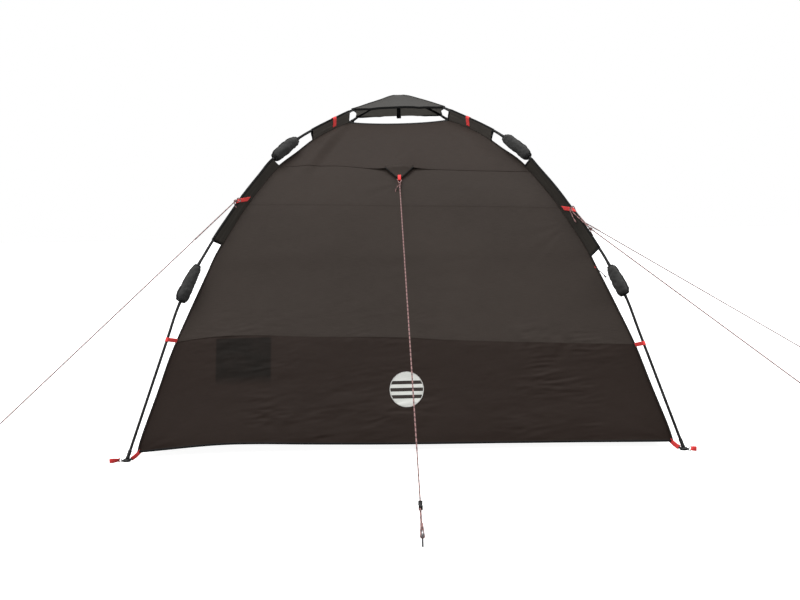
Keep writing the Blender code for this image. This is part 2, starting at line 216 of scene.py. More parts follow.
def sweep(name, points, section, side=None, scales=None, looped=False):
    """A mesh of a section (across, out) carried along the points, with metres along it as U.
    side is the across direction, one vector or one a point; without it the frame doesn't twist."""
    count = len(points)
    tangents = []
    for i in range(count):
        if looped:
            tangents.append((points[(i + 1) % count] - points[i - 1]).normalized())
        else:
            tangents.append((points[min(i + 1, count - 1)] - points[max(i - 1, 0)]).normalized())
    carried = tangents[0].orthogonal().normalized()
    bm = bmesh.new()
    uv = bm.loops.layers.uv.new("UVMap")
    rings = []
    lengths = [0.0]
    for i, point in enumerate(points):
        if i:
            lengths.append(lengths[-1] + (point - points[i - 1]).length)
        if side is None:
            carried = (carried - tangents[i] * carried.dot(tangents[i])).normalized()
            sideways = carried
        else:
            sideways = side[i] if isinstance(side, list) else side
            sideways = (sideways - tangents[i] * sideways.dot(tangents[i])).normalized()
        out = tangents[i].cross(sideways)
        scale = scales[i] if scales else 1.0
        rings.append([bm.verts.new(point + sideways * a * scale + out * b * scale) for a, b in section])
    sides = len(section)
    edge = [0.0]
    for k in range(sides):
        a = Vector(section[k])
        b = Vector(section[(k + 1) % sides])
        edge.append(edge[-1] + (b - a).length)
    total = lengths[-1] + (points[0] - points[-1]).length
    last = count if looped else count - 1
    for i in range(last):
        j = (i + 1) % count
        end = total if looped and j == 0 else lengths[j]
        for k in range(sides):
            n = (k + 1) % sides
            face = bm.faces.new((rings[i][k], rings[i][n], rings[j][n], rings[j][k]))
            places = ((lengths[i], edge[k]), (lengths[i], edge[k + 1]), (end, edge[k + 1]), (end, edge[k]))
            for loop, place in zip(face.loops, places):
                loop[uv].uv = place
            face.smooth = True
    if not looped:
        for ring, along in ((rings[0][::-1], lengths[0]), (rings[-1], lengths[-1])):
            face = bm.faces.new(ring)
            for loop in face.loops:
                loop[uv].uv = (along, 0.0)
    bmesh.ops.recalc_face_normals(bm, faces=bm.faces)
    return mesh_of(name, bm)


def add_piece(name, mesh, mat, slot, replaces=()):
    """A piece of the tent, in place, riding on its one body."""
    piece = stand(name, mesh)
    mesh.materials.clear()
    mesh.materials.append(mat)
    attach(piece, "root")
    if replaces:
        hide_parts(*replaces)
    return piece


def add_turned(mesh, turning, mat, slot, replaces=()):
    """A piece made at one corner or side, turned to its own and named like its mesh."""
    mesh.transform(turning)
    return add_piece(mesh.name, mesh, mat, slot, replaces)


def new_effect(name, inputs, outputs):
    """An empty shader node group with named sockets, with its input and output nodes."""
    tree = bpy.data.node_groups.new(name, "ShaderNodeTree")
    for label, kind, value in inputs:
        socket = tree.interface.new_socket(label, in_out="INPUT", socket_type=kind)
        if value is not None:
            socket.default_value = value
    for label, kind in outputs:
        tree.interface.new_socket(label, in_out="OUTPUT", socket_type=kind)
    return tree, tree.nodes.new("NodeGroupInput").outputs, tree.nodes.new("NodeGroupOutput").inputs


def add_node(tree, kind, inputs=(), **settings):
    """A node with its settings, and its inputs by place: a socket is linked, a value is set."""
    made = tree.nodes.new(kind)
    for key, value in settings.items():
        setattr(made, key, value)
    pairs = inputs.items() if isinstance(inputs, dict) else enumerate(inputs)
    for place, value in pairs:
        if isinstance(value, bpy.types.NodeSocket):
            tree.links.new(value, made.inputs[place])
        elif value is not None:
            made.inputs[place].default_value = value
    return made


def sum_up(tree, operation, *values, clamp=False):
    return add_node(tree, "ShaderNodeMath", values, operation=operation, use_clamp=clamp).outputs[0]


def blend_colour(tree, share, first, second):
    mixed = add_node(tree, "ShaderNodeMix", {0: share, 6: first, 7: second}, data_type="RGBA")
    return mixed.outputs[2]


def ramp(tree, value, low, high, low_out=0.0, high_out=1.0):
    return add_node(tree, "ShaderNodeMapRange", (value, low, high, low_out, high_out)).outputs[0]


FLOAT = "NodeSocketFloat"
COLOUR = "NodeSocketColor"
VECTOR = "NodeSocketVector"


def make_scuffs():
    """Handling marks on hard parts: short scratches and rubbed patches."""
    tree, given, out = new_effect("scuffs", [
        ("Place", VECTOR, None), ("Size", FLOAT, 40.0), ("Colour", COLOUR, None),
        ("Rubbed", COLOUR, None), ("Amount", FLOAT, 0.5)],
        [("Colour", COLOUR), ("Roughness", FLOAT), ("Height", FLOAT)])
    patches = add_node(tree, "ShaderNodeTexNoise", {"Vector": given["Place"], "Scale": given["Size"],
                                                    "Detail": 5.0, "Roughness": 0.62})
    stretched = add_node(tree, "ShaderNodeMapping", {"Vector": given["Place"], "Scale": (1.0, 1.0, 0.12)})
    fine = sum_up(tree, "MULTIPLY", given["Size"], 14.0)
    scratches = add_node(tree, "ShaderNodeTexNoise", {"Vector": stretched.outputs[0], "Scale": fine,
                                                      "Detail": 3.0, "Roughness": 0.7})
    rub = ramp(tree, patches.outputs["Fac"], 0.52, 0.78)
    scratch = ramp(tree, scratches.outputs["Fac"], 0.62, 0.72)
    both = sum_up(tree, "MAXIMUM", sum_up(tree, "MULTIPLY", rub, 0.7), sum_up(tree, "MULTIPLY", scratch, rub))
    worn = sum_up(tree, "MULTIPLY", both, given["Amount"], clamp=True)
    tree.links.new(blend_colour(tree, worn, given["Colour"], given["Rubbed"]), out["Colour"])
    tree.links.new(ramp(tree, patches.outputs["Fac"], 0.25, 0.75, 0.32, 0.55), out["Roughness"])
    tree.links.new(sum_up(tree, "SUBTRACT", sum_up(tree, "MULTIPLY", patches.outputs["Fac"], 0.3),
                          scratch), out["Height"])
    return tree


SCUFFS = make_scuffs()


def cloth_map(tree):
    """A cloth's own map, in metres along and across it."""
    return add_node(tree, "ShaderNodeUVMap", uv_map="UVMap").outputs[0]


def start_material(name, **constants):
    """A material's tree and its shader, with the finish that is the same all over set on the shader."""
    mat = bpy.data.materials.new(name)
    mat.use_nodes = True
    shader = mat.node_tree.nodes["Principled BSDF"]
    for label, value in constants.items():
        shader.inputs[label.replace("_", " ")].default_value = value
    return mat, mat.node_tree, shader


def apply_effect(tree, effect, **inputs):
    made = tree.nodes.new("ShaderNodeGroup")
    made.node_tree = effect
    for label, value in inputs.items():
        socket = made.inputs[label.replace("_", " ")]
        if isinstance(value, bpy.types.NodeSocket):
            tree.links.new(value, socket)
        else:
            socket.default_value = value
    return made.outputs


def add_relief(tree, shader, height, distance, strength=1.0):
    bump = add_node(tree, "ShaderNodeBump", {"Height": height, "Distance": distance, "Strength": strength})
    tree.links.new(bump.outputs[0], shader.inputs["Normal"])


def hard_material(name, colour, rubbed, size, amount, relief=0.0002, **constants):
    mat, tree, shader = start_material(name, **constants)
    place = add_node(tree, "ShaderNodeTexCoord").outputs["Object"]
    marks = apply_effect(tree, SCUFFS, Place=place, Size=size, Colour=(*colour, 1.0),
                         Rubbed=(*rubbed, 1.0), Amount=amount)
    tree.links.new(marks["Colour"], shader.inputs["Base Color"])
    tree.links.new(marks["Roughness"], shader.inputs["Roughness"])
    add_relief(tree, shader, marks["Height"], relief)
    return mat


black_tube = hard_material("black_tube", (0.006, 0.006, 0.0065), (0.022, 0.022, 0.022), 30.0, 0.45,
                           Specular_IOR_Level=0.24)
FERRULE_R = TUBE_R + 0.0009
FERRULE_LENGTH = 0.026
FERRULE_STEP = 0.0012
INTO_COVER = 0.006
TUBE_SPACING = 0.012


def ferrule_scales(points, ends):
    """The tube's radius by point: it steps out to the ferrule at the ends that have one."""
    scales = []
    for point in points:
        near = min((point - points[0]).length if ends[0] else 1.0,
                   (point - points[-1]).length if ends[1] else 1.0)
        step = min(1.0, max(0.0, (FERRULE_LENGTH - near) / FERRULE_STEP))
        scales.append(1.0 + (FERRULE_R / TUBE_R - 1.0) * step)
    return scales


for corner_name, corner in CORNERS.items():
    upper_knuckle, lower_knuckle = KNUCKLES[corner_name]
    for part, (start, end), ends, count in (
            ("upper", (HUB_END, upper_knuckle[0]), (False, True), 260),
            ("middle", (upper_knuckle[1], lower_knuckle[0]), (True, True), 200),
            ("lower", (lower_knuckle[1], FOOT_END), (True, False), 200)):
        points = leg_run(corner, start, end, count)
        if ends[0]:
            points.insert(0, points[0] - (points[1] - points[0]).normalized() * INTO_COVER)
        if ends[1]:
            points.append(points[-1] + (points[-1] - points[-2]).normalized() * INTO_COVER)
        found = ferrule_scales(points, ends)
        kept = [points[0]]
        scales = [found[0]]
        for point, scale in list(zip(points, found))[1:]:
            if (point - kept[-1]).length > TUBE_SPACING or scale != scales[-1] or point is points[-1]:
                kept.append(point)
                scales.append(scale)
        mesh = sweep("%s_%s_tube" % (corner_name, part), kept, ring_section(TUBE_R, 20), scales=scales)
        add_piece(mesh.name, mesh, black_tube, "dark_tube", ["%s_%s_pole" % (corner_name, part)])


# Hub
# A black moulded nylon hub holds the four upper tubes in hinged sockets under the cap. A screw holds
# its two halves, and a webbing pull with a moulded grip hangs from it to open the frame.

HUB_TOP = 1.6455
HUB_BOTTOM = 1.606
HUB_R = 0.044
PULL_END = 1.533


def turned(name, profile, segments, place=Matrix.Identity(4)):
    """A mesh turned from (radius, height) points about its own Z, closed where the radius is 0."""
    bm = bmesh.new()
    uv = bm.loops.layers.uv.new("UVMap")
    rings = []
    for radius, height in profile:
        if radius < 1e-6:
            rings.append([bm.verts.new((0.0, 0.0, height))])
        else:
            rings.append([bm.verts.new((radius * math.cos(math.tau * k / segments),
                                        radius * math.sin(math.tau * k / segments), height))
                          for k in range(segments)])
    for i, (low, high) in enumerate(zip(rings, rings[1:])):
        for k in range(segments):
            n = (k + 1) % segments
            corners = [low[k % len(low)], low[n % len(low)], high[n % len(high)], high[k % len(high)]]
            face = bm.faces.new(list(dict.fromkeys(corners)))
            face.smooth = True
            for loop in face.loops:
                loop[uv].uv = (k / segments * 0.1, i * 0.005)
    bmesh.ops.recalc_face_normals(bm, faces=bm.faces)
    mesh = mesh_of(name, bm)
    mesh.transform(place)
    return mesh


def rounded_block(name, size, edge, place=Matrix.Identity(4), segments=3):
    """A block with rounded edges, centred on its place."""
    bm = bmesh.new()
    bm.loops.layers.uv.new("UVMap")
    bmesh.ops.create_cube(bm, size=1.0, matrix=Matrix.Diagonal((*size, 1.0)))
    bmesh.ops.bevel(bm, geom=bm.edges[:], offset=edge, segments=segments, profile=0.5, affect="EDGES")
    for face in bm.faces:
        face.smooth = True
    mesh = mesh_of(name, bm)
    mesh.transform(place)
    return mesh


def join_meshes(name, meshes):
    bm = bmesh.new()
    for mesh in meshes:
        bm.from_mesh(mesh)
        bpy.data.meshes.remove(mesh)
    return mesh_of(name, bm)


def pointing(place, direction, roll_to=(0.0, 0.0, 1.0)):
    """A frame at place whose Z runs along direction, with its Y as near roll_to as it can be."""
    z = Vector(direction).normalized()
    x = Vector(roll_to).cross(z)
    x = x.normalized() if x.length > 1e-6 else z.orthogonal().normalized()
    return Matrix.Translation(place) @ Matrix((x, z.cross(x), z)).transposed().to_4x4()


def strap_section(width, thickness):
    """Section of woven webbing: flat faces and rounded selvedges."""
    half = width / 2.0
    deep = thickness / 2.0
    points = []
    for side in (1.0, -1.0):
        for step in range(5):
            angle = math.pi * (step / 4.0 - 0.5)
            points.append((side * (half - deep + deep * math.cos(angle)), side * deep * math.sin(angle)))
        points.append((0.0, side * deep * 1.08))
    return points


black_plastic = hard_material("black_plastic", (0.008, 0.008, 0.0084), (0.035, 0.035, 0.035), 55.0, 0.5,
                              Specular_IOR_Level=0.32)
steel = hard_material("plated_steel", (0.42, 0.42, 0.43), (0.62, 0.62, 0.62), 70.0, 0.6, 0.00008,
                      Metallic=1.0)
blackened_steel = hard_material("blackened_steel", (0.014, 0.014, 0.015), (0.09, 0.09, 0.09), 70.0, 0.6,
                                0.00008, Metallic=0.5)
RIB_PITCH = 0.0016
ROW_PITCH = 0.0026


def make_webbing_weave():
    """Flat woven webbing: ribs across it, a herringbone in each rib, and plain selvedges."""
    tree, given, out = new_effect("webbing_weave", [
        ("Place", VECTOR, None), ("Colour", COLOUR, None), ("Shade", COLOUR, None)],
        [("Colour", COLOUR), ("Height", FLOAT)])
    parts = add_node(tree, "ShaderNodeSeparateXYZ", [given["Place"]]).outputs
    along = sum_up(tree, "MULTIPLY", parts[0], math.tau / RIB_PITCH)
    across_rows = sum_up(tree, "MULTIPLY", parts[1], math.tau / ROW_PITCH)
    rows = sum_up(tree, "SINE", across_rows)
    slant = sum_up(tree, "MULTIPLY", sum_up(tree, "ABSOLUTE", rows), 1.6)
    ribs = sum_up(tree, "SINE", sum_up(tree, "ADD", along, slant))
    height = sum_up(tree, "ADD", sum_up(tree, "MULTIPLY", ribs, 0.5), sum_up(tree, "MULTIPLY", rows, 0.35))
    fade = add_node(tree, "ShaderNodeTexNoise", {"Vector": given["Place"], "Scale": 90.0, "Detail": 4.0})
    share = sum_up(tree, "ADD", ramp(tree, height, -0.8, 0.8, 0.0, 0.55),
                   ramp(tree, fade.outputs["Fac"], 0.3, 0.7, 0.0, 0.45), clamp=True)
    tree.links.new(blend_colour(tree, share, given["Shade"], given["Colour"]), out["Colour"])
    tree.links.new(height, out["Height"])
    return tree


WEBBING_WEAVE = make_webbing_weave()


def webbing_material(name, colour, shade):
    mat, tree, shader = start_material(name, Roughness=0.72, Sheen_Weight=0.15, Sheen_Roughness=0.5)
    place = cloth_map(tree)
    weave = apply_effect(tree, WEBBING_WEAVE, Place=place, Colour=(*colour, 1.0), Shade=(*shade, 1.0))
    tree.links.new(weave["Colour"], shader.inputs["Base Color"])
    add_relief(tree, shader, weave["Height"], 0.00025)
    return mat


black_webbing = webbing_material("black_webbing", (0.022, 0.022, 0.022), (0.008, 0.008, 0.008))

hub_parts = [turned("hub_shell", [
    (0.0, HUB_BOTTOM), (0.012, HUB_BOTTOM), (0.0125, HUB_BOTTOM + 0.0015), (0.030, HUB_BOTTOM + 0.002),
    (0.0385, HUB_BOTTOM + 0.004), (0.0425, HUB_BOTTOM + 0.008), (HUB_R, HUB_BOTTOM + 0.013),
    (HUB_R, 1.6235), (0.0428, 1.6243), (0.0428, 1.6257), (HUB_R, 1.6265), (HUB_R, 1.633),
    (0.0425, 1.6385), (0.038, 1.6425), (0.030, 1.6445), (0.017, 1.6448), (0.0165, 1.6425),
    (0.008, 1.6425), (0.0078, HUB_TOP - 0.001), (0.0, HUB_TOP - 0.001)], 64)]
for spoke in range(12):
    angle = math.tau * (spoke + 0.5) / 12
    if abs(math.sin(2.0 * angle)) > 0.96:      # where a leg's socket is
        continue
    rib_place = Matrix.Rotation(angle, 4, "Z") @ Matrix.Translation((0.0285, 0.0, 1.6438))
    hub_parts.append(rounded_block("hub_rib", (0.018, 0.0018, 0.0024), 0.0006, rib_place, 2))
socket = [(0.0, 0.0), (0.0078, 0.0), (0.0088, 0.0012), (0.0088, 0.030), (0.0094, 0.0315), (0.0098, 0.034),
          (0.0098, 0.0405), (0.0092, 0.042), (0.0070, 0.042), (0.0066, 0.0405), (0.0066, 0.028), (0.0, 0.028)]
half_pin = [(0.0016, 0.0096), (0.0029, 0.0098), (0.0029, 0.0107), (0.0020, 0.0116), (0.0, 0.0118)]
pin = [(radius, -height) for radius, height in reversed(half_pin)] + half_pin
tube_end = leg_point((1, 1), HUB_END)
socket_dir = (leg_point((1, 1), 0.060) - tube_end).normalized()
socket_place = pointing(tube_end - socket_dir * 0.036, socket_dir)
pin_place = pointing(tube_end - socket_dir * 0.008, (1.0, -1.0, 0.0))
pins = []
for x_sign, y_sign in CORNERS.values():
    quarter = Matrix.Rotation(math.atan2(y_sign, x_sign) - math.pi / 4.0, 4, "Z")
    hub_parts.append(turned("hub_socket", socket, 32, quarter @ socket_place))
    pins.append(turned("hub_pin", pin, 20, quarter @ pin_place))
add_piece("hub_body", join_meshes("hub_body", hub_parts), black_plastic, "black_plastic", ["hub"])
pins.append(turned("hub_screw", [(0.0, 1.6425), (0.0058, 1.6425), (0.0062, 1.6435), (0.0062, 1.6452),
                                 (0.0056, 1.6460), (0.0030, 1.6462), (0.0027, 1.6446), (0.0, 1.6446)], 24))
add_piece("hub_pins", join_meshes("hub_pins", pins), steel, "steel")
pull_loop = [Vector((0.0, 0.0018, HUB_BOTTOM + 0.004 - 0.062 * i / 9)) for i in range(10)]
pull_loop += [Vector((0.0, -0.0018, z)) for z in [p.z for p in reversed(pull_loop)]]
add_piece("hub_pull", sweep("hub_pull", pull_loop, strap_section(0.020, 0.0014), Vector((1.0, 0.0, 0.0))),
          black_webbing, "webbing")
grip = rounded_block("hub_pull_grip", (0.0235, 0.0085, 0.020), 0.0032,
                     Matrix.Translation((0.0, 0.0, PULL_END + 0.012)), 4)
grip_ribs = [rounded_block("grip_rib", (0.0242, 0.0092, 0.0016), 0.0006,
                           Matrix.Translation((0.0, 0.0, PULL_END + 0.006 + 0.004 * i)), 2) for i in range(4)]
add_piece("hub_pull_grip", join_meshes("hub_pull_grip", [grip] + grip_ribs), black_plastic, "black_plastic")


# Knuckle covers
# Padded sleeves of grey fabric over foam, sewn round each folding knuckle of the legs. Each has a
# piped seam along its outer and inner edge and an elastic hem where the tubes go in.

CORNER_TURN = {name: Matrix.Rotation(math.atan2(y, x), 4, "Z") for name, (x, y) in CORNERS.items()}
SIDEWAYS = Vector((0.0, 1.0, 0.0))
COVER_AROUND = 28
COVER_ALONG = 34
COVER_CELL = 0.0062
COVER_SHAPE = reader(fair_line([(0.0, 0.42), (0.025, 0.56), (0.06, 0.76), (0.12, 0.89), (0.24, 0.96),
                                (0.48, 1.0), (0.74, 0.99), (0.88, 0.90), (0.945, 0.76), (0.98, 0.58),
                                (1.0, 0.44)]))


def in_plane(r, lift=0.0):
    """A point of the leg's line, in the upright plane that holds a leg, X outwards."""
    return Vector((r * ROOT2, 0.0, leg_height(r) + lift))


def ripple(x, y, seed):
    return noise.noise(Vector((x, y, seed)))


def ridged(x, y, seed):
    """Sharp-topped folds, as cloth makes them when it's pushed together."""
    return 1.0 - 2.0 * abs(noise.noise(Vector((x, y, seed))))


def cover_form(start, end, radius, push, taper, seed):
    """The cover before its filling swells: rings from the upper hem to the lower one, fuller
    towards the lower one by taper."""
    a = in_plane(start)
    b = in_plane(end)
    first = (a - in_plane(start - 0.01)).normalized()
    last = (in_plane(end + 0.01) - b).normalized()
    a = a - first * 0.001
    b = b + last * 0.001
    run = (b - a).normalized()
    out = Vector((-run.z, 0.0, run.x))
    if out.x < 0.0:
        out = -out
    rings = []
    for i in range(COVER_ALONG + 1):
        share = i / COVER_ALONG
        centre = a.lerp(b, share) + out * push * math.sin(math.pi * share)
        size = radius * COVER_SHAPE(share) * (1.0 + taper * (share - 0.6))
        ring = []
        for k in range(COVER_AROUND):
            angle = math.tau * k / COVER_AROUND
            across = math.sin(angle)
            outer = math.cos(angle)
            square = (abs(across) ** 2.5 + abs(outer) ** 2.5) ** (-1.0 / 2.5)
            crumple = 1.0 + 0.13 * noise.noise(Vector((outer * 0.9, across * 0.9, share * 5.0 + seed)))
            crumple += 0.08 * noise.noise(Vector((outer * 2.5, across * 2.5, share * 13.0 + seed)))
            crumple += 0.035 * ridged(outer * 3.1 + seed, across * 3.1, share * 2.4)
            ring.append(centre + out * (outer * square * size * 1.02 * crumple)
                        + SIDEWAYS * (across * square * size * 0.93 * crumple))
        rings.append(ring)
    return rings


def cover_mesh(name, rings):
    bm = bmesh.new()
    uv = bm.loops.layers.uv.new("UVMap")
    verts = [[bm.verts.new(p) for p in ring] for ring in rings]
    step = (rings[1][0] - rings[0][0]).length
    for i in range(len(rings) - 1):
        for k in range(COVER_AROUND):
            n = (k + 1) % COVER_AROUND
            face = bm.faces.new((verts[i][k], verts[i][n], verts[i + 1][n], verts[i + 1][k]))
            face.smooth = True
            for loop, (u, v) in zip(face.loops, ((i, k), (i, k + 1), (i + 1, k + 1), (i + 1, k))):
                loop[uv].uv = (u * step, v * COVER_CELL)
    bm.faces.new(verts[0])
    bm.faces.new(verts[-1])
    bmesh.ops.recalc_face_normals(bm, faces=bm.faces)
    return mesh_of(name, bm)


FILL_PRESSURE = 1.4
FABRIC_SLACK = 0.012
SWELL_FRAMES = 16
SWELL_LIMIT = 0.0018


def swell(mesh, pinned):
    """The filling presses the mesh out between its pinned seams, by Blender's cloth simulation."""
    body = stand("swelling", mesh)
    start = [vert.co.copy() for vert in mesh.vertices]
    group = body.vertex_groups.new(name="seams")
    group.add(pinned, 1.0, "REPLACE")
    cloth = body.modifiers.new("cloth", "CLOTH")
    settings = cloth.settings
    settings.quality = 6
    settings.mass = 0.15
    settings.tension_stiffness = 12.0
    settings.compression_stiffness = 8.0
    settings.shear_stiffness = 4.0
    settings.bending_stiffness = 0.02
    settings.use_pressure = True
    settings.uniform_pressure_force = FILL_PRESSURE
    settings.vertex_group_mass = "seams"
    settings.shrink_min = -FABRIC_SLACK
    settings.effector_weights.gravity = 0.0
    cloth.collision_settings.use_collision = False
    cloth.collision_settings.use_self_collision = False
    cloth.point_cache.frame_end = SWELL_FRAMES
    for at in range(1, SWELL_FRAMES + 1):
        bpy.context.scene.frame_set(at)
    graph = bpy.context.evaluated_depsgraph_get()
    swollen = body.evaluated_get(graph).data
    ends = []
    for vert, before in zip(swollen.vertices, start):
        moved = vert.co - before
        if moved.length > SWELL_LIMIT:
            moved *= SWELL_LIMIT / moved.length
        ends.append(before + moved)
    bpy.data.objects.remove(body, do_unlink=True)
    bpy.context.scene.frame_set(1)
    for vert, place in zip(mesh.vertices, ends):
        vert.co = place


def refined(mesh):
    """The mesh after a Catmull-Clark subdivision."""
    body = stand("refining", mesh)
    body.modifiers.new("smooth", "SUBSURF").levels = 1
    graph = bpy.context.evaluated_depsgraph_get()
    graph.update()
    finer = bpy.data.meshes.new_from_object(body.evaluated_get(graph))
    finer.name = mesh.name
    bpy.data.objects.remove(body, do_unlink=True)
    return finer


def make_cloth_weave():
    """Plain-woven cloth: threads over and under each other, thicker slubs here and there."""
    tree, given, out = new_effect("cloth_weave", [
        ("Place", VECTOR, None), ("Thread", FLOAT, 0.0006), ("Colour", COLOUR, None),
        ("Shade", COLOUR, None), ("Contrast", FLOAT, 0.3)], [("Colour", COLOUR), ("Height", FLOAT)])
    parts = add_node(tree, "ShaderNodeSeparateXYZ", [given["Place"]]).outputs
    turns = sum_up(tree, "DIVIDE", math.pi, given["Thread"])
    weft = sum_up(tree, "SINE", sum_up(tree, "MULTIPLY", parts[0], turns))
    warp = sum_up(tree, "SINE", sum_up(tree, "MULTIPLY", parts[1], turns))
    crossing = sum_up(tree, "MULTIPLY", weft, warp)
    rounds = sum_up(tree, "ADD", sum_up(tree, "ABSOLUTE", weft), sum_up(tree, "ABSOLUTE", warp))
    height = sum_up(tree, "ADD", sum_up(tree, "MULTIPLY", crossing, 0.5),
                    sum_up(tree, "MULTIPLY", rounds, 0.4))
    slub_place = add_node(tree, "ShaderNodeMapping", {"Vector": given["Place"], "Scale": (1.0, 22.0, 1.0)})
    slubs = add_node(tree, "ShaderNodeTexNoise", {"Vector": slub_place.outputs[0], "Scale": 26.0,
                                                  "Detail": 4.0})
    share = sum_up(tree, "ADD", sum_up(tree, "MULTIPLY", height, given["Contrast"]),
                   ramp(tree, slubs.outputs["Fac"], 0.3, 0.7, -0.1, 0.6), clamp=True)
    tree.links.new(blend_colour(tree, share, given["Shade"], given["Colour"]), out["Colour"])
    tree.links.new(height, out["Height"])
    return tree


CLOTH_WEAVE = make_cloth_weave()


def make_slow_tone():
    """Slow changes of tone over a piece: fading, soiling and rub marks."""
    tree, given, out = new_effect("slow_tone", [
        ("Place", VECTOR, None), ("Size", FLOAT, 3.0), ("Colour", COLOUR, None), ("Tint", COLOUR, None),
        ("Amount", FLOAT, 0.4)], [("Colour", COLOUR), ("Roughness", FLOAT), ("Mask", FLOAT)])
    broad = add_node(tree, "ShaderNodeTexNoise", {"Vector": given["Place"], "Scale": given["Size"],
                                                  "Detail": 6.0, "Roughness": 0.55, "Distortion": 0.4})
    mask = ramp(tree, broad.outputs["Fac"], 0.32, 0.70)
    share = sum_up(tree, "MULTIPLY", mask, given["Amount"], clamp=True)
    tree.links.new(blend_colour(tree, share, given["Colour"], given["Tint"]), out["Colour"])
    tree.links.new(ramp(tree, broad.outputs["Fac"], 0.3, 0.7, 0.62, 0.78), out["Roughness"])
    tree.links.new(mask, out["Mask"])
    return tree


SLOW_TONE = make_slow_tone()


def cloth_material(name, colour, shade, tint, thread=0.0006, tone_size=3.0, tone=0.35, relief=0.00012,
                   contrast=0.3, **constants):
    mat, tree, shader = start_material(name, **constants)
    place = cloth_map(tree)
    solid = add_node(tree, "ShaderNodeTexCoord").outputs["Object"]
    weave = apply_effect(tree, CLOTH_WEAVE, Place=place, Thread=thread, Colour=(*colour, 1.0),
                         Shade=(*shade, 1.0), Contrast=contrast)
    slow = apply_effect(tree, SLOW_TONE, Place=solid, Size=tone_size, Colour=weave["Colour"],
                        Tint=(*tint, 1.0), Amount=tone)
    tree.links.new(slow["Colour"], shader.inputs["Base Color"])
    tree.links.new(slow["Roughness"], shader.inputs["Roughness"])
    add_relief(tree, shader, weave["Height"], relief)
    return mat


cover_fabric = cloth_material("cover_fabric", (0.034, 0.034, 0.033), (0.017, 0.017, 0.0165),
                              (0.051, 0.050, 0.048), thread=0.0009, tone_size=42.0, tone=0.55, relief=0.0003,
                              contrast=0.5, Specular_IOR_Level=0.15, Sheen_Weight=0.12, Sheen_Roughness=0.5)
black_binding = cloth_material("black_binding", (0.008, 0.008, 0.008), (0.004, 0.004, 0.004),
                               (0.015, 0.015, 0.015), thread=0.0008, tone_size=20.0, tone=0.4, relief=0.00025,
                               contrast=0.5, Specular_IOR_Level=0.2, Sheen_Weight=0.05, Sheen_Roughness=0.5)
COVER_TAPER = {"back_left": 0.30, "back_right": 0.25, "front_right": 0.25, "front_left": 0.30}

for corner_name, turn_corner in CORNER_TURN.items():
    for level_name, (start, end), radius, push in (("upper", KNUCKLES[corner_name][0], 0.0270, 0.003),
                                                   ("lower", KNUCKLES[corner_name][1], 0.0275, 0.002)):
        name = "%s_%s_cover" % (corner_name, level_name)
        seed = 3.7 * list(CORNERS).index(corner_name) + (21.0 if level_name == "lower" else 0.0)
        taper = COVER_TAPER[corner_name] if level_name == "lower" else 0.05
        rings = cover_form(start, end, radius, push, taper, seed)
        form = cover_mesh(name, rings)
        seam_ks = (0, COVER_AROUND // 2)
        pinned = [i * COVER_AROUND + k for i in range(COVER_ALONG + 1) for k in range(COVER_AROUND)
                  if k in seam_ks or i in (0, 1, COVER_ALONG - 1, COVER_ALONG)]
        swell(form, pinned)
        seams = [[form.vertices[i * COVER_AROUND + k].co.copy() for i in range(1, COVER_ALONG)]
                 for k in seam_ks]
        hems = [[form.vertices[i * COVER_AROUND + k].co.copy() for k in range(COVER_AROUND)]
                for i in (1, COVER_ALONG - 1)]
        mesh = refined(form)
        mesh.transform(turn_corner)
        cover = add_piece(name, mesh, cover_fabric, "knuckle_fabric",
                          ["%s_%s_knuckle" % (corner_name, level_name)])
        piping = [sweep("piping", seam, ring_section(0.0026, 8)) for seam in seams]
        quarter = COVER_AROUND // 4
        for hem in hems:
            axis = (hem[0] - hem[2 * quarter]).cross(hem[quarter] - hem[3 * quarter]).normalized()
            piping.append(sweep("hem", hem, strap_section(0.010, 0.0030), axis, looped=True))
        add_turned(join_meshes(name + "_piping", piping), turn_corner, black_binding, "knuckle_fabric")


# Feet
# Black moulded end pieces on the lower tubes: a ribbed socket on a round pad. A blackened D-ring on the
# outer lug holds the red peg loop, and a red strap on the inner lug holds the fabric's corner.

FOOT_R = 1.200
PAD_R = FOOT_R - 0.001
PAD_TOP = 0.012
STRAP_WIDE = 0.0185
STRAP = 0.0013
PEG_LOOP = {"back_left": 0.036, "back_right": 0.018, "front_right": 0.045, "front_left": 0.045}
red_webbing = webbing_material("red_webbing", (0.86, 0.042, 0.040), (0.60, 0.020, 0.020))


def out_at(r, height):
    """A point of the upright plane that holds a leg, r out on both axes and at a height."""
    return Vector((r * ROOT2, 0.0, height))


def arc(centre, first, second, radius, start, end, count):
    """Points on an arc from angle start to end, in degrees, from the first axis to the second."""
    points = []
    for i in range(count):
        angle = math.radians(start + (end - start) * i / (count - 1))
        points.append(centre + first * (radius * math.cos(angle)) + second * (radius * math.sin(angle)))
    return points


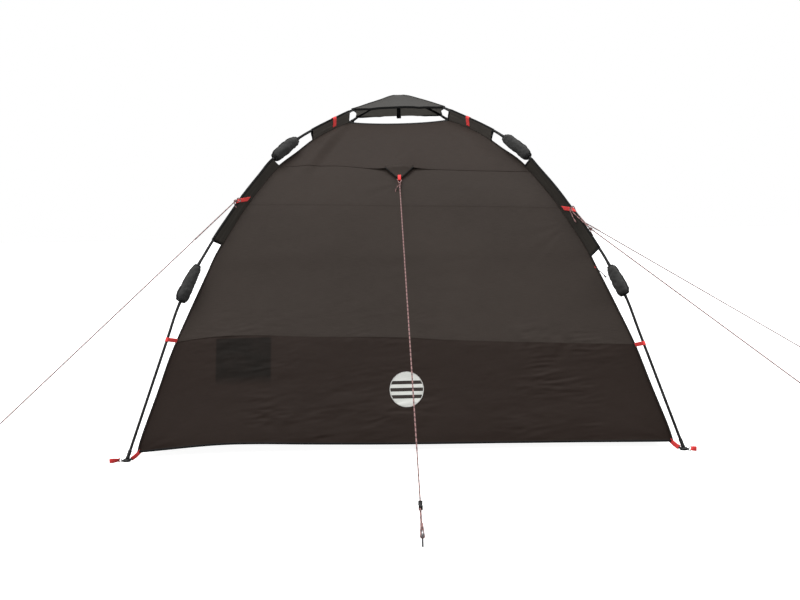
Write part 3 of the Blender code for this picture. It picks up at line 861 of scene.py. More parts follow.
def foot_parts():
    tip = in_plane(FOOT_END)
    run = (tip - in_plane(FOOT_END - 0.01)).normalized()
    socket = [(0.0065, -0.012), (0.0079, -0.012), (0.0084, -0.0105), (0.0084, -0.006), (0.0078, -0.005),
              (0.0078, 0.0), (0.0084, 0.001), (0.0084, 0.004), (0.0078, 0.005), (0.0079, 0.012),
              (0.0084, 0.020), (0.0088, 0.026), (0.0, 0.026)]
    parts = [turned("foot_socket", [(0.0, -0.0115)] + socket, 28, pointing(tip, run))]
    pad = [(0.0, 0.0), (0.0158, 0.0), (0.0168, 0.0008), (0.0172, 0.0022), (0.0166, 0.0032), (0.0166, 0.0046),
           (0.0171, 0.0054), (0.0166, 0.0078), (0.0148, 0.0105), (0.0125, PAD_TOP), (0.0, PAD_TOP)]
    parts.append(turned("foot_pad", pad, 36, Matrix.Translation(out_at(PAD_R, 0.0))))
    for reach in (0.0195, -0.0195):
        parts.append(rounded_block("foot_lug", (0.012, 0.009, 0.0075), 0.002,
                                   Matrix.Translation(out_at(PAD_R, 0.0068)
                                                      + Vector((reach, 0.0, 0.0)))))
    return join_meshes("foot", parts)


def ring_mesh():
    """The D-ring: a bent and welded wire, leaning out from the lug."""
    lug = out_at(PAD_R, 0.0075) + Vector((0.024, 0.0, 0.0))
    lean = Vector((0.93, 0.0, 0.12)).normalized()
    aside = Vector((0.0, 0.72, 0.69)).normalized()
    half = 0.0095
    straight = [lug + aside * (half - 2.0 * half * i / 6) for i in range(7)]
    bow = arc(lug + lean * 0.003, lean, -aside, half + 0.0012, 90.0, -90.0, 17)
    return sweep("foot_ring", straight + bow, ring_section(0.0013, 12), looped=True)


def peg_loop(length):
    """Red webbing doubled through the D-ring, open at its outer end for the peg."""
    start = out_at(PAD_R, 0.0095) + Vector((0.0345, 0.0, 0.0012))
    reach = Vector((1.0, 0.0, 0.02)).normalized()
    wide = 0.0045
    flank = [(length * i / 12, 0.0012 + (wide - 0.0012) * math.sin(i / 12 * math.pi * 0.5) ** 2)
             for i in range(1, 12)]
    path = arc(start, -reach, SIDEWAYS, 0.0020, -70.0, 70.0, 5)
    path += [start + reach * along + SIDEWAYS * apart for along, apart in flank]
    path += arc(start + reach * length, SIDEWAYS, reach, wide, 0.0, 180.0, 9)
    path += [start + reach * along - SIDEWAYS * apart for along, apart in reversed(flank)]
    sides = []
    for point in path:
        share = min(1.0, max(0.0, (point - start).dot(reach) / length))
        lean = math.radians(42.0 * (1.0 - share) ** 1.5)
        sides.append(Vector((0.0, math.sin(lean), math.cos(lean))))
    return sweep("peg_loop", path, strap_section(STRAP_WIDE, STRAP), sides, looped=True)


def corner_strap():
    """Red webbing from the fabric's lower corner down to the foot's inner lug, doubled round the lug."""
    top = out_at(1.150, 0.036)
    low = out_at(PAD_R, 0.0085) - Vector((0.0245, 0.0, 0.0))
    length = (low - top).length
    run = (low - top) / length
    path = [top + SIDEWAYS * 0.0016 + run * (length * i / 8) for i in range(9)]
    path += arc(low, SIDEWAYS, run, 0.0024, 20.0, 160.0, 6)
    path += [top - SIDEWAYS * 0.0016 + run * (length * i / 8) for i in range(8, -1, -1)]
    shares = [min(1.0, max(0.0, (p - top).dot(run) / length)) for p in path]
    sagging = [p - Vector((0.0, 0.0, 0.003 * math.sin(math.pi * share))) for p, share in zip(path, shares)]
    sides = [(run.cross(SIDEWAYS) + SIDEWAYS * 0.25 * share).normalized() for share in shares]
    return sweep("corner_strap", sagging, strap_section(STRAP_WIDE, STRAP), sides)


RING_SWING = {"back_left": 16.0, "back_right": -9.0, "front_right": 6.0, "front_left": -4.0}
hinge = Matrix.Translation(out_at(FOOT_R, 0.0))
for corner_name, turn_corner in CORNER_TURN.items():
    swing = Matrix.Rotation(math.radians(-RING_SWING[corner_name]), 4, "Z")
    swung = turn_corner @ hinge @ swing @ hinge.inverted()
    for mesh, mat, slot, turning, replaced in (
            (foot_parts(), black_plastic, "black_plastic", turn_corner, [corner_name + "_foot"]),
            (ring_mesh(), blackened_steel, "steel", swung, []),
            (peg_loop(PEG_LOOP[corner_name]), red_webbing, "webbing", swung, []),
            (corner_strap(), red_webbing, "webbing", turn_corner, [])):
        mesh.name = "%s_%s" % (corner_name, mesh.name)
        add_turned(mesh, turning, mat, slot, replaced)


# Walls
# Four panels of dark grey-brown coated polyester, each cut in three strips joined by flat-felled
# seams, and sewn to the next panel at the corners. They hang inside the legs, so they sag a little.

HEM_Z = 0.030
VENT_Z = 1.500
VENT_DROP = 0.015
CLOTH = 0.0012
RIDGE_LINE = [(HEM_Z, 1.159), (0.100, 1.140), (0.270, 1.081), (0.440, 1.024), (0.610, 0.954),
              (0.785, 0.878), (0.872, 0.840), (1.006, 0.766), (1.111, 0.701), (1.262, 0.586),
              (1.344, 0.491), (1.4146, 0.4075), (1.467, 0.319), (1.501, 0.246)]
ridge_reach = reader(fair_line(RIDGE_LINE))
sag_depth = reader(fair_line([(HEM_Z, 0.045), (0.450, 0.050), (0.850, 0.052), (1.250, 0.028),
                              (1.500, 0.010)]))
SIDES = ("back", "right", "front", "left")
GUYED_SIDES = (0, 1)

# Heights of the hem, the two seams and the flap's hem over a wall, from its left corner to its right
BACK_LINES = {
    "hem": [(-1.0, 0.030), (-0.9, 0.038), (-0.72, 0.050), (-0.57, 0.050), (-0.33, 0.041), (0.0, 0.033),
            (0.36, 0.031), (0.80, 0.030), (1.0, 0.030)],
    "low": [(-1.0, 0.490), (-0.85, 0.506), (-0.66, 0.508), (-0.37, 0.495), (0.0, 0.482), (0.21, 0.468),
            (0.43, 0.458), (0.69, 0.448), (1.0, 0.438)],
    "high": [(-1.0, 1.095), (-0.52, 1.086), (0.0, 1.073), (0.51, 1.062), (1.0, 1.046)],
    "flap": [(-1.0, 1.272), (-0.79, 1.272), (-0.49, 1.270), (-0.11, 1.247), (0.11, 1.247), (0.40, 1.237),
             (0.63, 1.230), (1.0, 1.220)]}
CORNER_HEIGHTS = {"hem": (0.030, 0.030, 0.030, 0.030), "low": (0.490, 0.438, 0.462, 0.470),
                  "high": (1.095, 1.046, 1.070, 1.075), "flap": (1.272, 1.220, 1.246, 1.250)}
MIDDLE_RISE = {"hem": 0.012, "low": 0.006, "high": -0.002, "flap": -0.004}


def seam_line(side, line_name):
    """Reader of a seam's height over u, from -1 at the panel's left corner to 1 at its right."""
    if side == 0:
        return reader(fair_line(BACK_LINES[line_name], 6))
    heights = CORNER_HEIGHTS[line_name]
    low, high = heights[side], heights[(side + 1) % 4]
    points = [(-1.0 + 0.25 * i, low + (high - low) * i / 8
               + MIDDLE_RISE[line_name] * (1.0 - (i / 4.0 - 1.0) ** 2)) for i in range(9)]
    return reader(fair_line(points, 4))


SEAMS = [{name: seam_line(side, name) for name in MIDDLE_RISE} for side in range(4)]


def vent_height(u):
    return VENT_Z - VENT_DROP * (1.0 - u * u)


def body_point(u, z):
    """A point of the body's outer face on the back side, before its folds."""
    r = ridge_reach(z)
    return Vector((u * (r - 0.0004), -(r - sag_depth(z) * (1.0 - u * u)), z))


def body_normal(u, z):
    step = 0.004
    along = body_point(min(u + step, 1.0), z) - body_point(max(u - step, -1.0), z)
    up = body_point(u, z + step) - body_point(u, z - step)
    return along.cross(up).normalized()


def wall_out(x, z):
    """The direction straight out of a wall at x and z on its own side."""
    return body_normal(x / ridge_reach(z), z)


def turn_side(side):
    return Matrix.Rotation(math.radians(90.0 * side), 4, "Z")


def fan_of_folds(x, z, centre, aim, spread, folds, reach, seed):
    """Tension folds that run out from a point where the cloth is pulled."""
    dx = x - centre[0]
    dz = z - centre[1]
    distance = math.hypot(dx, dz)
    if distance > reach * 2.6 or distance < 1e-5:
        return 0.0
    angle = math.atan2(dz, dx) - math.radians(aim)
    angle = math.atan2(math.sin(angle), math.cos(angle))
    inside = max(0.0, 1.0 - (angle / math.radians(spread)) ** 2)
    if inside == 0.0:
        return 0.0
    rise = min(1.0, distance / (0.18 * reach))
    wave = math.cos(folds * angle + 1.6 * ripple(distance * 5.0, angle * 1.5, seed))
    return wave * inside * inside * rise * math.exp(-distance / reach)


def wall_folds(side, u, z, seams):
    """How far the cloth stands out of its smooth shape, in metres."""
    r = ridge_reach(z)
    x = u * r
    seed = 11.3 * side
    inner = 1.0 - abs(u) ** 8
    lift = 0.0
    for depth, x_rate, shift, z_rate, offset in (
            (0.0044, 1.7, 0.0, 2.1, 0.0), (0.0030, 4.3, 3.0, 3.1, 1.7), (0.0010, 13.0, 0.0, 17.0, 2.9),
            (0.0003, 38.0, 0.0, 46.0, 5.1)):
        lift += depth * ripple(x * x_rate + shift, z * z_rate, seed + offset)
    creased = min(1.0, max(0.1, 0.55 + 1.9 * ripple(x * 2.1, z * 2.6, seed + 12.0)))
    above = max(0.0, z - seams["low"](u))
    creased *= 0.22 + 0.78 * math.exp(-above / 0.07)
    creased *= 0.40 + 1.3 * max(0.0, 0.2 + ripple(x * 5.5, z * 9.0, seed + 19.0))
    by_seam = math.exp(-abs(z - seams["low"](u) + 0.015) / 0.030)
    creased = max(creased, by_seam * (0.55 + 0.9 * ripple(x * 3.1, 2.0, seed + 21.0)))
    lift += creased * (0.0021 * ridged(x * 4.2 - z, z * 25.0 - x * 3.0, seed + 13.0)
                       + 0.0023 * ridged(x * 11.0, z * 50.0 - x * 6.0, seed + 14.0))
    for line_name, amount, width in (("low", 0.0030, 0.055), ("high", 0.0012, 0.028)):
        off = z - seams[line_name](u)
        if abs(off) < width * 3.0:
            slant = x * 17.0 + off * (9.0 if off > 0.0 else -13.0)
            pucker = ridged(slant, off * 6.0, seed + 7.7)
            pucker += 0.5 * ridged(x * 41.0 - off * 16.0, off * 11.0, seed)
            gather = (0.30 + 0.70 * max(0.0, ripple(x * 2.3, 0.5, seed + 9.1) * 2.0)) * (0.85 + 0.35 * u)
            lift += amount * pucker * gather * math.exp(-abs(off) / width)
    hem_off = z - seams["hem"](u)
    if hem_off < 0.12:
        lift += 0.0022 * ridged(x * 7.0, hem_off * 3.0, seed + 4.4) * math.exp(-hem_off / 0.045)
    for sign in (-1.0, 1.0):
        mirrored = 180.0 if sign > 0.0 else 0.0
        east = (1.0 + sign) / 2.0
        for height, aim, spread, folds, reach, depth in (
                (0.03, -20.0, 34.0, 15.0, 0.12, 0.0030), (seams["low"](sign), 0.0, 60.0, 15.0, 0.10, 0.0024),
                (0.98, 30.0, 46.0, 17.0, 0.11, 0.0006 + 0.0040 * east), (1.25, 6.0, 24.0, 9.0, 0.16, 0.0036)):
            pulled = (sign * ridge_reach(height), height)
            lift += depth * fan_of_folds(x, z, pulled, mirrored + sign * aim, spread, folds, reach,
                                         seed + 10.0 * height * sign)
    if side in GUYED_SIDES:
        lift += 0.0024 * fan_of_folds(x, z, (0.0, 1.185), 188.0, 38.0, 13.0, 0.11, seed + 15.0)
    return lift * inner


def on_wall(side, x, z, out=0.0):
    """The point of a wall's outer face at x and z on its own side, or a little out of the face."""
    u = x / ridge_reach(z)
    return body_point(u, z) + body_normal(u, z) * (wall_folds(side, u, z, SEAMS[side]) + out)


def flap_swell(side, u, z):
    """The folds that a roof flap shares with the wall's top strip, which lies under it."""
    x = u * ridge_reach(z)
    seed = 40.0 + 7.9 * side
    lift = 0.0034 * ripple(x * 2.2, z * 3.3, seed) + 0.0014 * ripple(x * 6.0, z * 5.0, seed + 1.0)
    for sign in (-1.0, 1.0):
        mirrored = 180.0 if sign > 0.0 else 0.0
        web = (sign * 0.43, 1.396)
        lift += 0.0026 * fan_of_folds(x, z, web, mirrored + sign * -25.0, 55.0, 9.0, 0.12, seed + 3.0 * sign)
        start = Vector((sign * 0.236, 1.470))
        run = Vector((sign * 0.386, 1.268)) - start
        share = (Vector((x, z)) - start).dot(run) / run.length_squared
        aside = sign * (run.x * (z - start.y) - run.y * (x - start.x)) / run.length
        depth = 0.0210 if (side, sign) in ((0, -1.0), (2, 1.0)) else 0.0040
        along = max(0.0, min(1.0, share * 6.0 + 0.5)) * max(0.0, min(1.0, (1.30 - share) * 2.4))
        climb = max(0.0, min(1.0, (aside + 0.006) / 0.062))
        lift += depth * climb * climb * (3.0 - 2.0 * climb) * math.exp(-(max(0.0, aside) / 0.13) ** 2) * along
    return lift * (1.0 - abs(u) ** 10)


FELL_REACH = 0.07


def felled_step(off, height):
    """Profile of a flat-felled seam: the strip above laps over the one below."""
    if off < 0.0 or off > FELL_REACH:
        return 0.0
    return height * (1.0 - off / FELL_REACH) ** 2


def cloth_mesh(name, points, map_places):
    """A mesh over rows of points, each with its place in the cloth's own map."""
    bm = bmesh.new()
    uv = bm.loops.layers.uv.new("UVMap")
    grid = [[bm.verts.new(point) for point in row] for row in points]
    for j in range(len(grid) - 1):
        for i in range(len(grid[0]) - 1):
            corners = ((j, i), (j, i + 1), (j + 1, i + 1), (j + 1, i))
            face = bm.faces.new([grid[a][b] for a, b in corners])
            face.smooth = True
            for loop, (a, b) in zip(face.loops, corners):
                loop[uv].uv = map_places[a][b]
    return mesh_of(name, bm)


def thicken(piece, thickness, offset, inner_slot=0):
    """The cloth's thickness; offset says to which side, and inner_slot is how many materials further
    the inner side's one stands."""
    solid = piece.modifiers.new("cloth", "SOLIDIFY")
    solid.thickness = thickness
    solid.offset = offset
    solid.material_offset = inner_slot


def panel(name, columns, rows, place, mats, slot, replaced, turning=Matrix.Identity(4), thickness=CLOTH):
    """A cloth panel over a grid of places; place(u, row) gives its point, its lift and its map place."""
    places = [[place(u, row) for u in columns] for row in rows]
    points = []
    for j, line in enumerate(places):
        made = []
        for i, (point, lift, _) in enumerate(line):
            east = line[min(i + 1, len(line) - 1)][0] - line[max(i - 1, 0)][0]
            north = places[min(j + 1, len(places) - 1)][i][0] - places[max(j - 1, 0)][i][0]
            made.append(point + east.cross(north).normalized() * lift)
        points.append(made)
    mesh = cloth_mesh(name, points, [[at for _, _, at in line] for line in places])
    piece = add_turned(mesh, turning, mats[0], slot, replaced)
    mesh.materials.append(mats[1])
    thicken(piece, thickness, -1.0, 1)
    return piece


def even(start, end, count):
    return [start + (end - start) * i / (count - 1) for i in range(count)]


STITCH = 0.0030


def seam_marks(tree, place, rows):
    """Mask of stitching at the given heights in the cloth's own map."""
    parts = add_node(tree, "ShaderNodeSeparateXYZ", [place]).outputs
    dash = sum_up(tree, "LESS_THAN", sum_up(tree, "FRACT", sum_up(tree, "DIVIDE", parts[0], STITCH)), 0.68)
    total = None
    for row in rows:
        away = sum_up(tree, "ABSOLUTE", sum_up(tree, "SUBTRACT", parts[1], row))
        mark = sum_up(tree, "LESS_THAN", away, 0.0004)
        total = mark if total is None else sum_up(tree, "MAXIMUM", total, mark)
    return sum_up(tree, "MULTIPLY", total, dash)


OUTER_COLOUR = (0.038, 0.0293, 0.0246)
OUTER_SHADE = (0.026, 0.0198, 0.0164)
OUTER_TINT = (0.047, 0.0375, 0.0323)
LOW_ROW = 0.45
HIGH_ROW = 1.08
FLAP_ROW = 1.30
FELL_WIDTH = 0.011
POCKET_EDGE = 0.0035


def tent_cloth(name, seam_rows, colour=OUTER_COLOUR, shade=OUTER_SHADE, tint=OUTER_TINT,
               roughness=(0.50, 0.64), pocket=None, low_strip_shade=0.0):
    """Coated polyester with its stitching. The strip below the low seam gets painted shade, darker by the
    given share, and pocket is a rectangle where the shade of a pocket behind the cloth is painted in."""
    mat, tree, shader = start_material(name, Specular_IOR_Level=0.09)
    place = cloth_map(tree)
    solid = add_node(tree, "ShaderNodeTexCoord").outputs["Object"]
    weave = apply_effect(tree, CLOTH_WEAVE, Place=place, Thread=0.0007, Colour=(*colour, 1.0),
                         Shade=(*shade, 1.0), Contrast=0.25)
    slow = apply_effect(tree, SLOW_TONE, Place=solid, Size=1.6, Colour=weave["Colour"],
                        Tint=(*tint, 1.0), Amount=0.45)
    shown = slow["Colour"]
    height = weave["Height"]
    # Painted shade: below the low seam the colour is blended towards dark brown, so the lowest strip looks
    # darker
    if low_strip_shade:
        row = add_node(tree, "ShaderNodeSeparateXYZ", [place]).outputs[1]
        below = sum_up(tree, "MULTIPLY", sum_up(tree, "LESS_THAN", row, LOW_ROW), low_strip_shade)
        shown = blend_colour(tree, below, shown, (0.014, 0.0070, 0.0050, 1.0))
    # Painted shade: inside the pocket's rectangle the colour is blended towards near black, mottled by noise,
    # as the shade of the pocket behind the cloth
    if pocket:
        parts = add_node(tree, "ShaderNodeSeparateXYZ", [solid]).outputs
        (x0, x1), (z0, z1) = pocket
        west = ramp(tree, parts[0], x0 - POCKET_EDGE, x0 + POCKET_EDGE)
        east = ramp(tree, parts[0], x1 + POCKET_EDGE, x1 - POCKET_EDGE)
        low = ramp(tree, parts[2], z0, z0 + POCKET_EDGE * 12.0)
        high = ramp(tree, parts[2], z1 + POCKET_EDGE, z1 - POCKET_EDGE)
        inside = sum_up(tree, "MULTIPLY", sum_up(tree, "MULTIPLY", west, east),
                        sum_up(tree, "MULTIPLY", low, high))
        pocket_shade_mottle = add_node(tree, "ShaderNodeTexNoise", {"Vector": solid, "Scale": 14.0, "Detail": 3.0})
        depth = sum_up(tree, "MULTIPLY", inside, ramp(tree, pocket_shade_mottle.outputs["Fac"], 0.25, 0.75, 0.54, 0.76))
        shown = blend_colour(tree, depth, shown, (0.0040, 0.0042, 0.0034, 1.0))
    if seam_rows:
        stitches = seam_marks(tree, place, seam_rows)
        thread = sum_up(tree, "MULTIPLY", stitches, 0.25)
        shown = blend_colour(tree, thread, shown, (0.010, 0.0095, 0.009, 1.0))
        height = sum_up(tree, "SUBTRACT", height, sum_up(tree, "MULTIPLY", stitches, 2.0))
    tree.links.new(shown, shader.inputs["Base Color"])
    tree.links.new(ramp(tree, slow["Mask"], 0.0, 1.0, *roughness), shader.inputs["Roughness"])
    add_relief(tree, shader, height, 0.00010)
    return mat


POCKET_X = (-0.831, -0.588)
POCKET_Z = (0.296, 0.500)
SEAM_STITCHES = [row + off for row in (LOW_ROW, HIGH_ROW) for off in (0.0018, FELL_WIDTH - 0.0018)]
# How far the lowest strip's colour goes towards dark brown, as painted shade
LOW_STRIP_SHADE = 0.62
wall_cloth = tent_cloth("wall_cloth", SEAM_STITCHES, low_strip_shade=LOW_STRIP_SHADE)
back_cloth = tent_cloth("back_wall_cloth", SEAM_STITCHES, pocket=(POCKET_X, POCKET_Z), low_strip_shade=LOW_STRIP_SHADE)
inner_cloth = tent_cloth("inner_coating", [], colour=(0.058, 0.055, 0.052), shade=(0.045, 0.043, 0.041),
                         tint=(0.070, 0.067, 0.063), roughness=(0.38, 0.5))
SEAM_STEPS = (-0.004, -0.0006, 0.0, 0.005, FELL_WIDTH - 0.0003, FELL_WIDTH + 0.0044)
WALL_ROWS = (even(0.0, LOW_ROW - 0.012, 84) + [LOW_ROW + step for step in SEAM_STEPS]
             + even(LOW_ROW + 0.020, LOW_ROW + 0.12, 20) + even(LOW_ROW + 0.13, HIGH_ROW - 0.012, 50)
             + [HIGH_ROW + step for step in SEAM_STEPS] + even(HIGH_ROW + 0.024, FLAP_ROW, 20))
LAP = 0.022


def wall_place(side):
    seams = SEAMS[side]

    def place(u, row):
        marks = [(0.0, seams["hem"](u)), (LOW_ROW, seams["low"](u)), (HIGH_ROW, seams["high"](u)),
                 (FLAP_ROW, seams["flap"](u) + LAP)]
        for (row0, z0), (row1, z1) in zip(marks, marks[1:]):
            if row <= row1 + 1e-9:
                z = z0 + (z1 - z0) * (row - row0) / (row1 - row0)
                break
        lift = wall_folds(side, u, z, seams)
        under = max(0.0, min(1.0, (row - HIGH_ROW - 0.10) / 0.09))
        lift = lift * (1.0 - under) + (flap_swell(side, u, z) - 0.0006) * under
        taut = (0.5 + 0.8 * ripple(u * 3.0, row, 31.0 + side)) * (1.0 - 0.35 * u)
        lift += felled_step(row - LOW_ROW, 0.0008 * taut) + felled_step(row - HIGH_ROW, 0.0002)
        point = body_point(u, z)
        return point, lift, (point.x, row)
    return place


WALL_CORNERS = [(list(CORNERS)[side], list(CORNERS)[(side + 1) % 4]) for side in range(4)]
walls = {}
for side, side_name in enumerate(SIDES):
    columns = even(-1.0, 1.0, 181 if side == 0 else 111)
    outer_cloth = back_cloth if side == 0 else wall_cloth
    walls[side_name] = panel(side_name + "_wall_cloth", columns, WALL_ROWS, wall_place(side),
                             (outer_cloth, inner_cloth), "tent_fabric", [side_name + "_wall"],
                             turn_side(side))
    ["%s_%s_web_cloth" % (corner_name, level) for corner_name in WALL_CORNERS[side]
                       for level in ("upper", "lower")]


# Roof flaps
# Four panels of the same cloth, from the bound vent edge down over the walls' top seam, each with a
# loose hem. A doubled triangle of cloth is sewn under the middle of each hem, with a red webbing tab.

FLAP_LENGTH = 0.28
FLAP_ROWS = ([0.0, 0.004, 0.0095, 0.0105, 0.016] + even(0.024, FLAP_LENGTH - 0.02, 34)
             + [FLAP_LENGTH - 0.012, FLAP_LENGTH - 0.006, FLAP_LENGTH])
TAB_HALF = 0.067
TAB_DROP = 0.055
PULL_WIDTH = 0.085


def hem_pull(side, x, rise):
    """How far the guy line's tab draws a flap's hem out from the wall."""
    depth = 0.024 if side in GUYED_SIDES else 0.006
    return depth * math.exp(-(x / PULL_WIDTH) ** 2) * math.exp(-rise / 0.060)


def flap_folds(side, u, z, rise):
    x = u * ridge_reach(z)
    seed = 40.0 + 7.9 * side
    lift = 0.0007 * ripple(x * 17.0, z * 19.0, seed + 3.0) + 0.0003 * ripple(x * 41.0, z * 44.0, seed + 5.0)
    lift *= min(1.0, 0.06 + max(0.0, rise - LAP) / 0.04)
    lift += 0.0003 * max(0.0, 0.2 + ripple(x * 6.5, 0.3, seed + 2.0)) * math.exp(-rise / 0.045)
    lift += hem_pull(side, x, rise)
    for sign in (-1.0, 1.0):
        away = 30.0 if sign < 0.0 else 150.0
        fan = fan_of_folds(x, z, (sign * 0.055, z - rise), away, 40.0, 11.0, 0.10, seed + sign)
        lift += 0.0030 * fan * min(1.0, rise / 0.03)
    return flap_swell(side, u, z) + lift * (1.0 - abs(u) ** 10)


def flap_place(side):
    hem = SEAMS[side]["flap"]

    def place(u, row):
        low = hem(u)
        z = low + (vent_height(u) - low) * row / FLAP_LENGTH
        rise = z - low
        lift = 0.0001 + flap_folds(side, u, z, rise) * min(1.0, (FLAP_LENGTH - row) / 0.03)
        point = body_point(u, z)
        return point, lift, (point.x, row)
    return place


# Painted shade: the flaps' cloth is coloured a little darker than the walls' cloth
flap_cloth = tent_cloth("flap_cloth", [0.009, FLAP_LENGTH - 0.011], colour=(0.037, 0.0282, 0.0236),
                        shade=(0.0255, 0.0192, 0.0159), tint=(0.046, 0.0357, 0.0306))
for side, side_name in enumerate(SIDES):
    panel(side_name + "_flap_cloth", even(-1.0, 1.0, 141), FLAP_ROWS, flap_place(side),
                             (flap_cloth, inner_cloth), "tent_fabric", [side_name + "_roof_flap"],
                             turn_side(side), 0.0006)
    ["%s_upper_web_cloth" % corner_name for corner_name in WALL_CORNERS[side]]


def on_panel(place, u, row, out=0.0):
    """The point of a panel at its map place, a little out of its face."""
    point, lift, _ = place(u, row)
    return point + body_normal(u, point.z) * (lift + out)


def ribbon(name, left, right, thickness, mat, slot, turning, across=6):
    """Flat webbing or cloth between two edges, with metres along and across it as its map."""
    points = []
    places = []
    run = 0.0
    for i, (a, b) in enumerate(zip(left, right)):
        if i:
            run += ((a + b) * 0.5 - (left[i - 1] + right[i - 1]) * 0.5).length
        points.append([a.lerp(b, k / across) for k in range(across + 1)])
        places.append([(run, (b - a).length * (k / across - 0.5)) for k in range(across + 1)])
    piece = add_turned(cloth_mesh(name, points, places), turning, mat, slot)
    thicken(piece, thickness, 0.0)
    return piece


TAB_WEBBING = 0.0075
TAB_ROWS = [(0.014, 0.0), (0.008, 0.0), (0.003, 0.0)] + [(0.001, i / 14) for i in range(1, 15)]
tab_ends = []
for side, side_name in enumerate(SIDES):
    turning = turn_side(side)
    place = flap_place(side)
    low = SEAMS[side]["flap"](0.0)
    tip = on_panel(place, 0.0, 0.004) + Vector((0.0, -0.026 if side in GUYED_SIDES else 0.001, -TAB_DROP))
    columns = []
    for across in even(-1.0, 1.0, 17):
        line = []
        for row, share in TAB_ROWS:
            base = on_panel(place, across * TAB_HALF / ridge_reach(low), row, 0.0018)
            point = base.lerp(tip + Vector((across * 0.010, 0.0, 0.0)), share)
            sag = 0.0016 * math.sin(math.pi * share) * (1.0 - across * across)
            line.append(point + Vector((0.0, sag, 0.0)))
        columns.append(line)
    mesh = cloth_mesh(side_name + "_tab_cloth", columns, [[(p.x, p.z) for p in line] for line in columns])
    tab = add_turned(mesh, turning, wall_cloth, "tent_fabric")
    thicken(tab, 0.0020, 0.0)
    # The V's slanted edges are folded hems drawn in black binding: partly the hems' own dark line, partly
    # painted shade for the shadow along the edges
    hems = []
    for edge in (columns[0][2:], columns[-1][2:]):
        hems.append(sweep("tab_hem", edge, strap_section(0.0045, 0.0034),
                          (edge[-1] - edge[0]).cross(-SIDEWAYS)))
    add_turned(join_meshes(side_name + "_tab_hems", hems), turning, black_binding, "tent_fabric")
    tab_ends.append(tip)
    down = (tip - on_panel(place, 0.0, 0.002)).normalized()
    back = Vector((0.0, down.z, -down.y))
    eye = arc(tip + down * 0.012, down, back, 0.0036, -110.0, 110.0, 9)
    path = [tip - down * 0.012 + back * 0.0024] + eye[::-1] + [tip - down * 0.012 - back * 0.0024]
    half_width = Vector((TAB_WEBBING, 0.0, 0.0))
    ribbon(side_name + "_tab_webbing", [p - half_width for p in path], [p + half_width for p in path], STRAP,
           red_webbing, "webbing", turning)


# Bindings
# Folded tape sewn over the raw edges of the cloth: dark brown on the corner seams, black along the
# hems and round the vent.

seam_tape = cloth_material("seam_tape", (0.028, 0.0228, 0.0200), (0.018, 0.0146, 0.0128),
                           (0.035, 0.0287, 0.0254), thread=0.0008, tone_size=20.0, tone=0.4, relief=0.00025,
                           contrast=0.5, Specular_IOR_Level=0.2)
SEAM_FOOT = 0.026
SEAM_TOP = 1.502

for side, side_name in enumerate(SIDES):
    seam = [Vector((-ridge_reach(z) - 0.0022, -ridge_reach(z) - 0.0022, z))
            for z in even(SEAM_FOOT, SEAM_TOP, 90)]
    hem = [on_panel(wall_place(side), u, 0.0) + Vector((0.0, 0.0005, 0.0018))
           for u in even(-0.997, 0.997, 120)]
    vent = [on_panel(flap_place(side), u, FLAP_LENGTH) + Vector((0.0, 0.0005, 0.0))
            for u in even(-0.995, 0.995, 50)]
    for name, line, section, outward, mat in (
            (list(CORNERS)[side] + "_corner_binding", seam, (0.0080, 0.0030), (-1.0, -1.0, 0.6), seam_tape),
            (side_name + "_hem_binding", hem, (0.0095, 0.0034), (0.0, -0.15, 1.0), black_binding),
            (side_name + "_vent_binding", vent, (0.015, 0.0034), (0.0, 0.9, 0.45), black_binding)):
        tape = sweep(name, line, strap_section(*section), Vector(outward))
        add_turned(tape, turn_side(side), mat, "tent_fabric")


# Webs
# Two strips of the tent's cloth on each leg, folded double round the tube and sewn into the corner
# seam, so that the legs carry the body. Black tape binds their ends and the fold over the tube.

UPPER_WEB = {"back_left": (0.250, 0.4235), "back_right": (0.262, 0.4600), "front_right": (0.258, 0.4435),
             "front_left": (0.258, 0.4435)}
LOWER_WEB = {"back_left": (0.600, 0.853), "back_right": (0.625, 0.895), "front_right": (0.607, 0.872),
             "front_left": (0.607, 0.872)}
UPPER_SEAM = {"back_left": (1.4985, 1.4050), "back_right": (1.4985, 1.3790), "front_right": (1.4985, 1.3965),
              "front_left": (1.4985, 1.3965)}
LOWER_SEAM = {"back_left": (1.275, 0.915), "back_right": (1.247, 0.824), "front_right": (1.262, 0.872),
              "front_left": (1.262, 0.872)}
SLEEVE_R = TUBE_R + 0.0014
SEWN_HALF = 0.0013
WEB_ROWS = even(0.0, 1.0, 12) + even(1.06, 1.94, 15) + even(2.0, 3.0, 12)


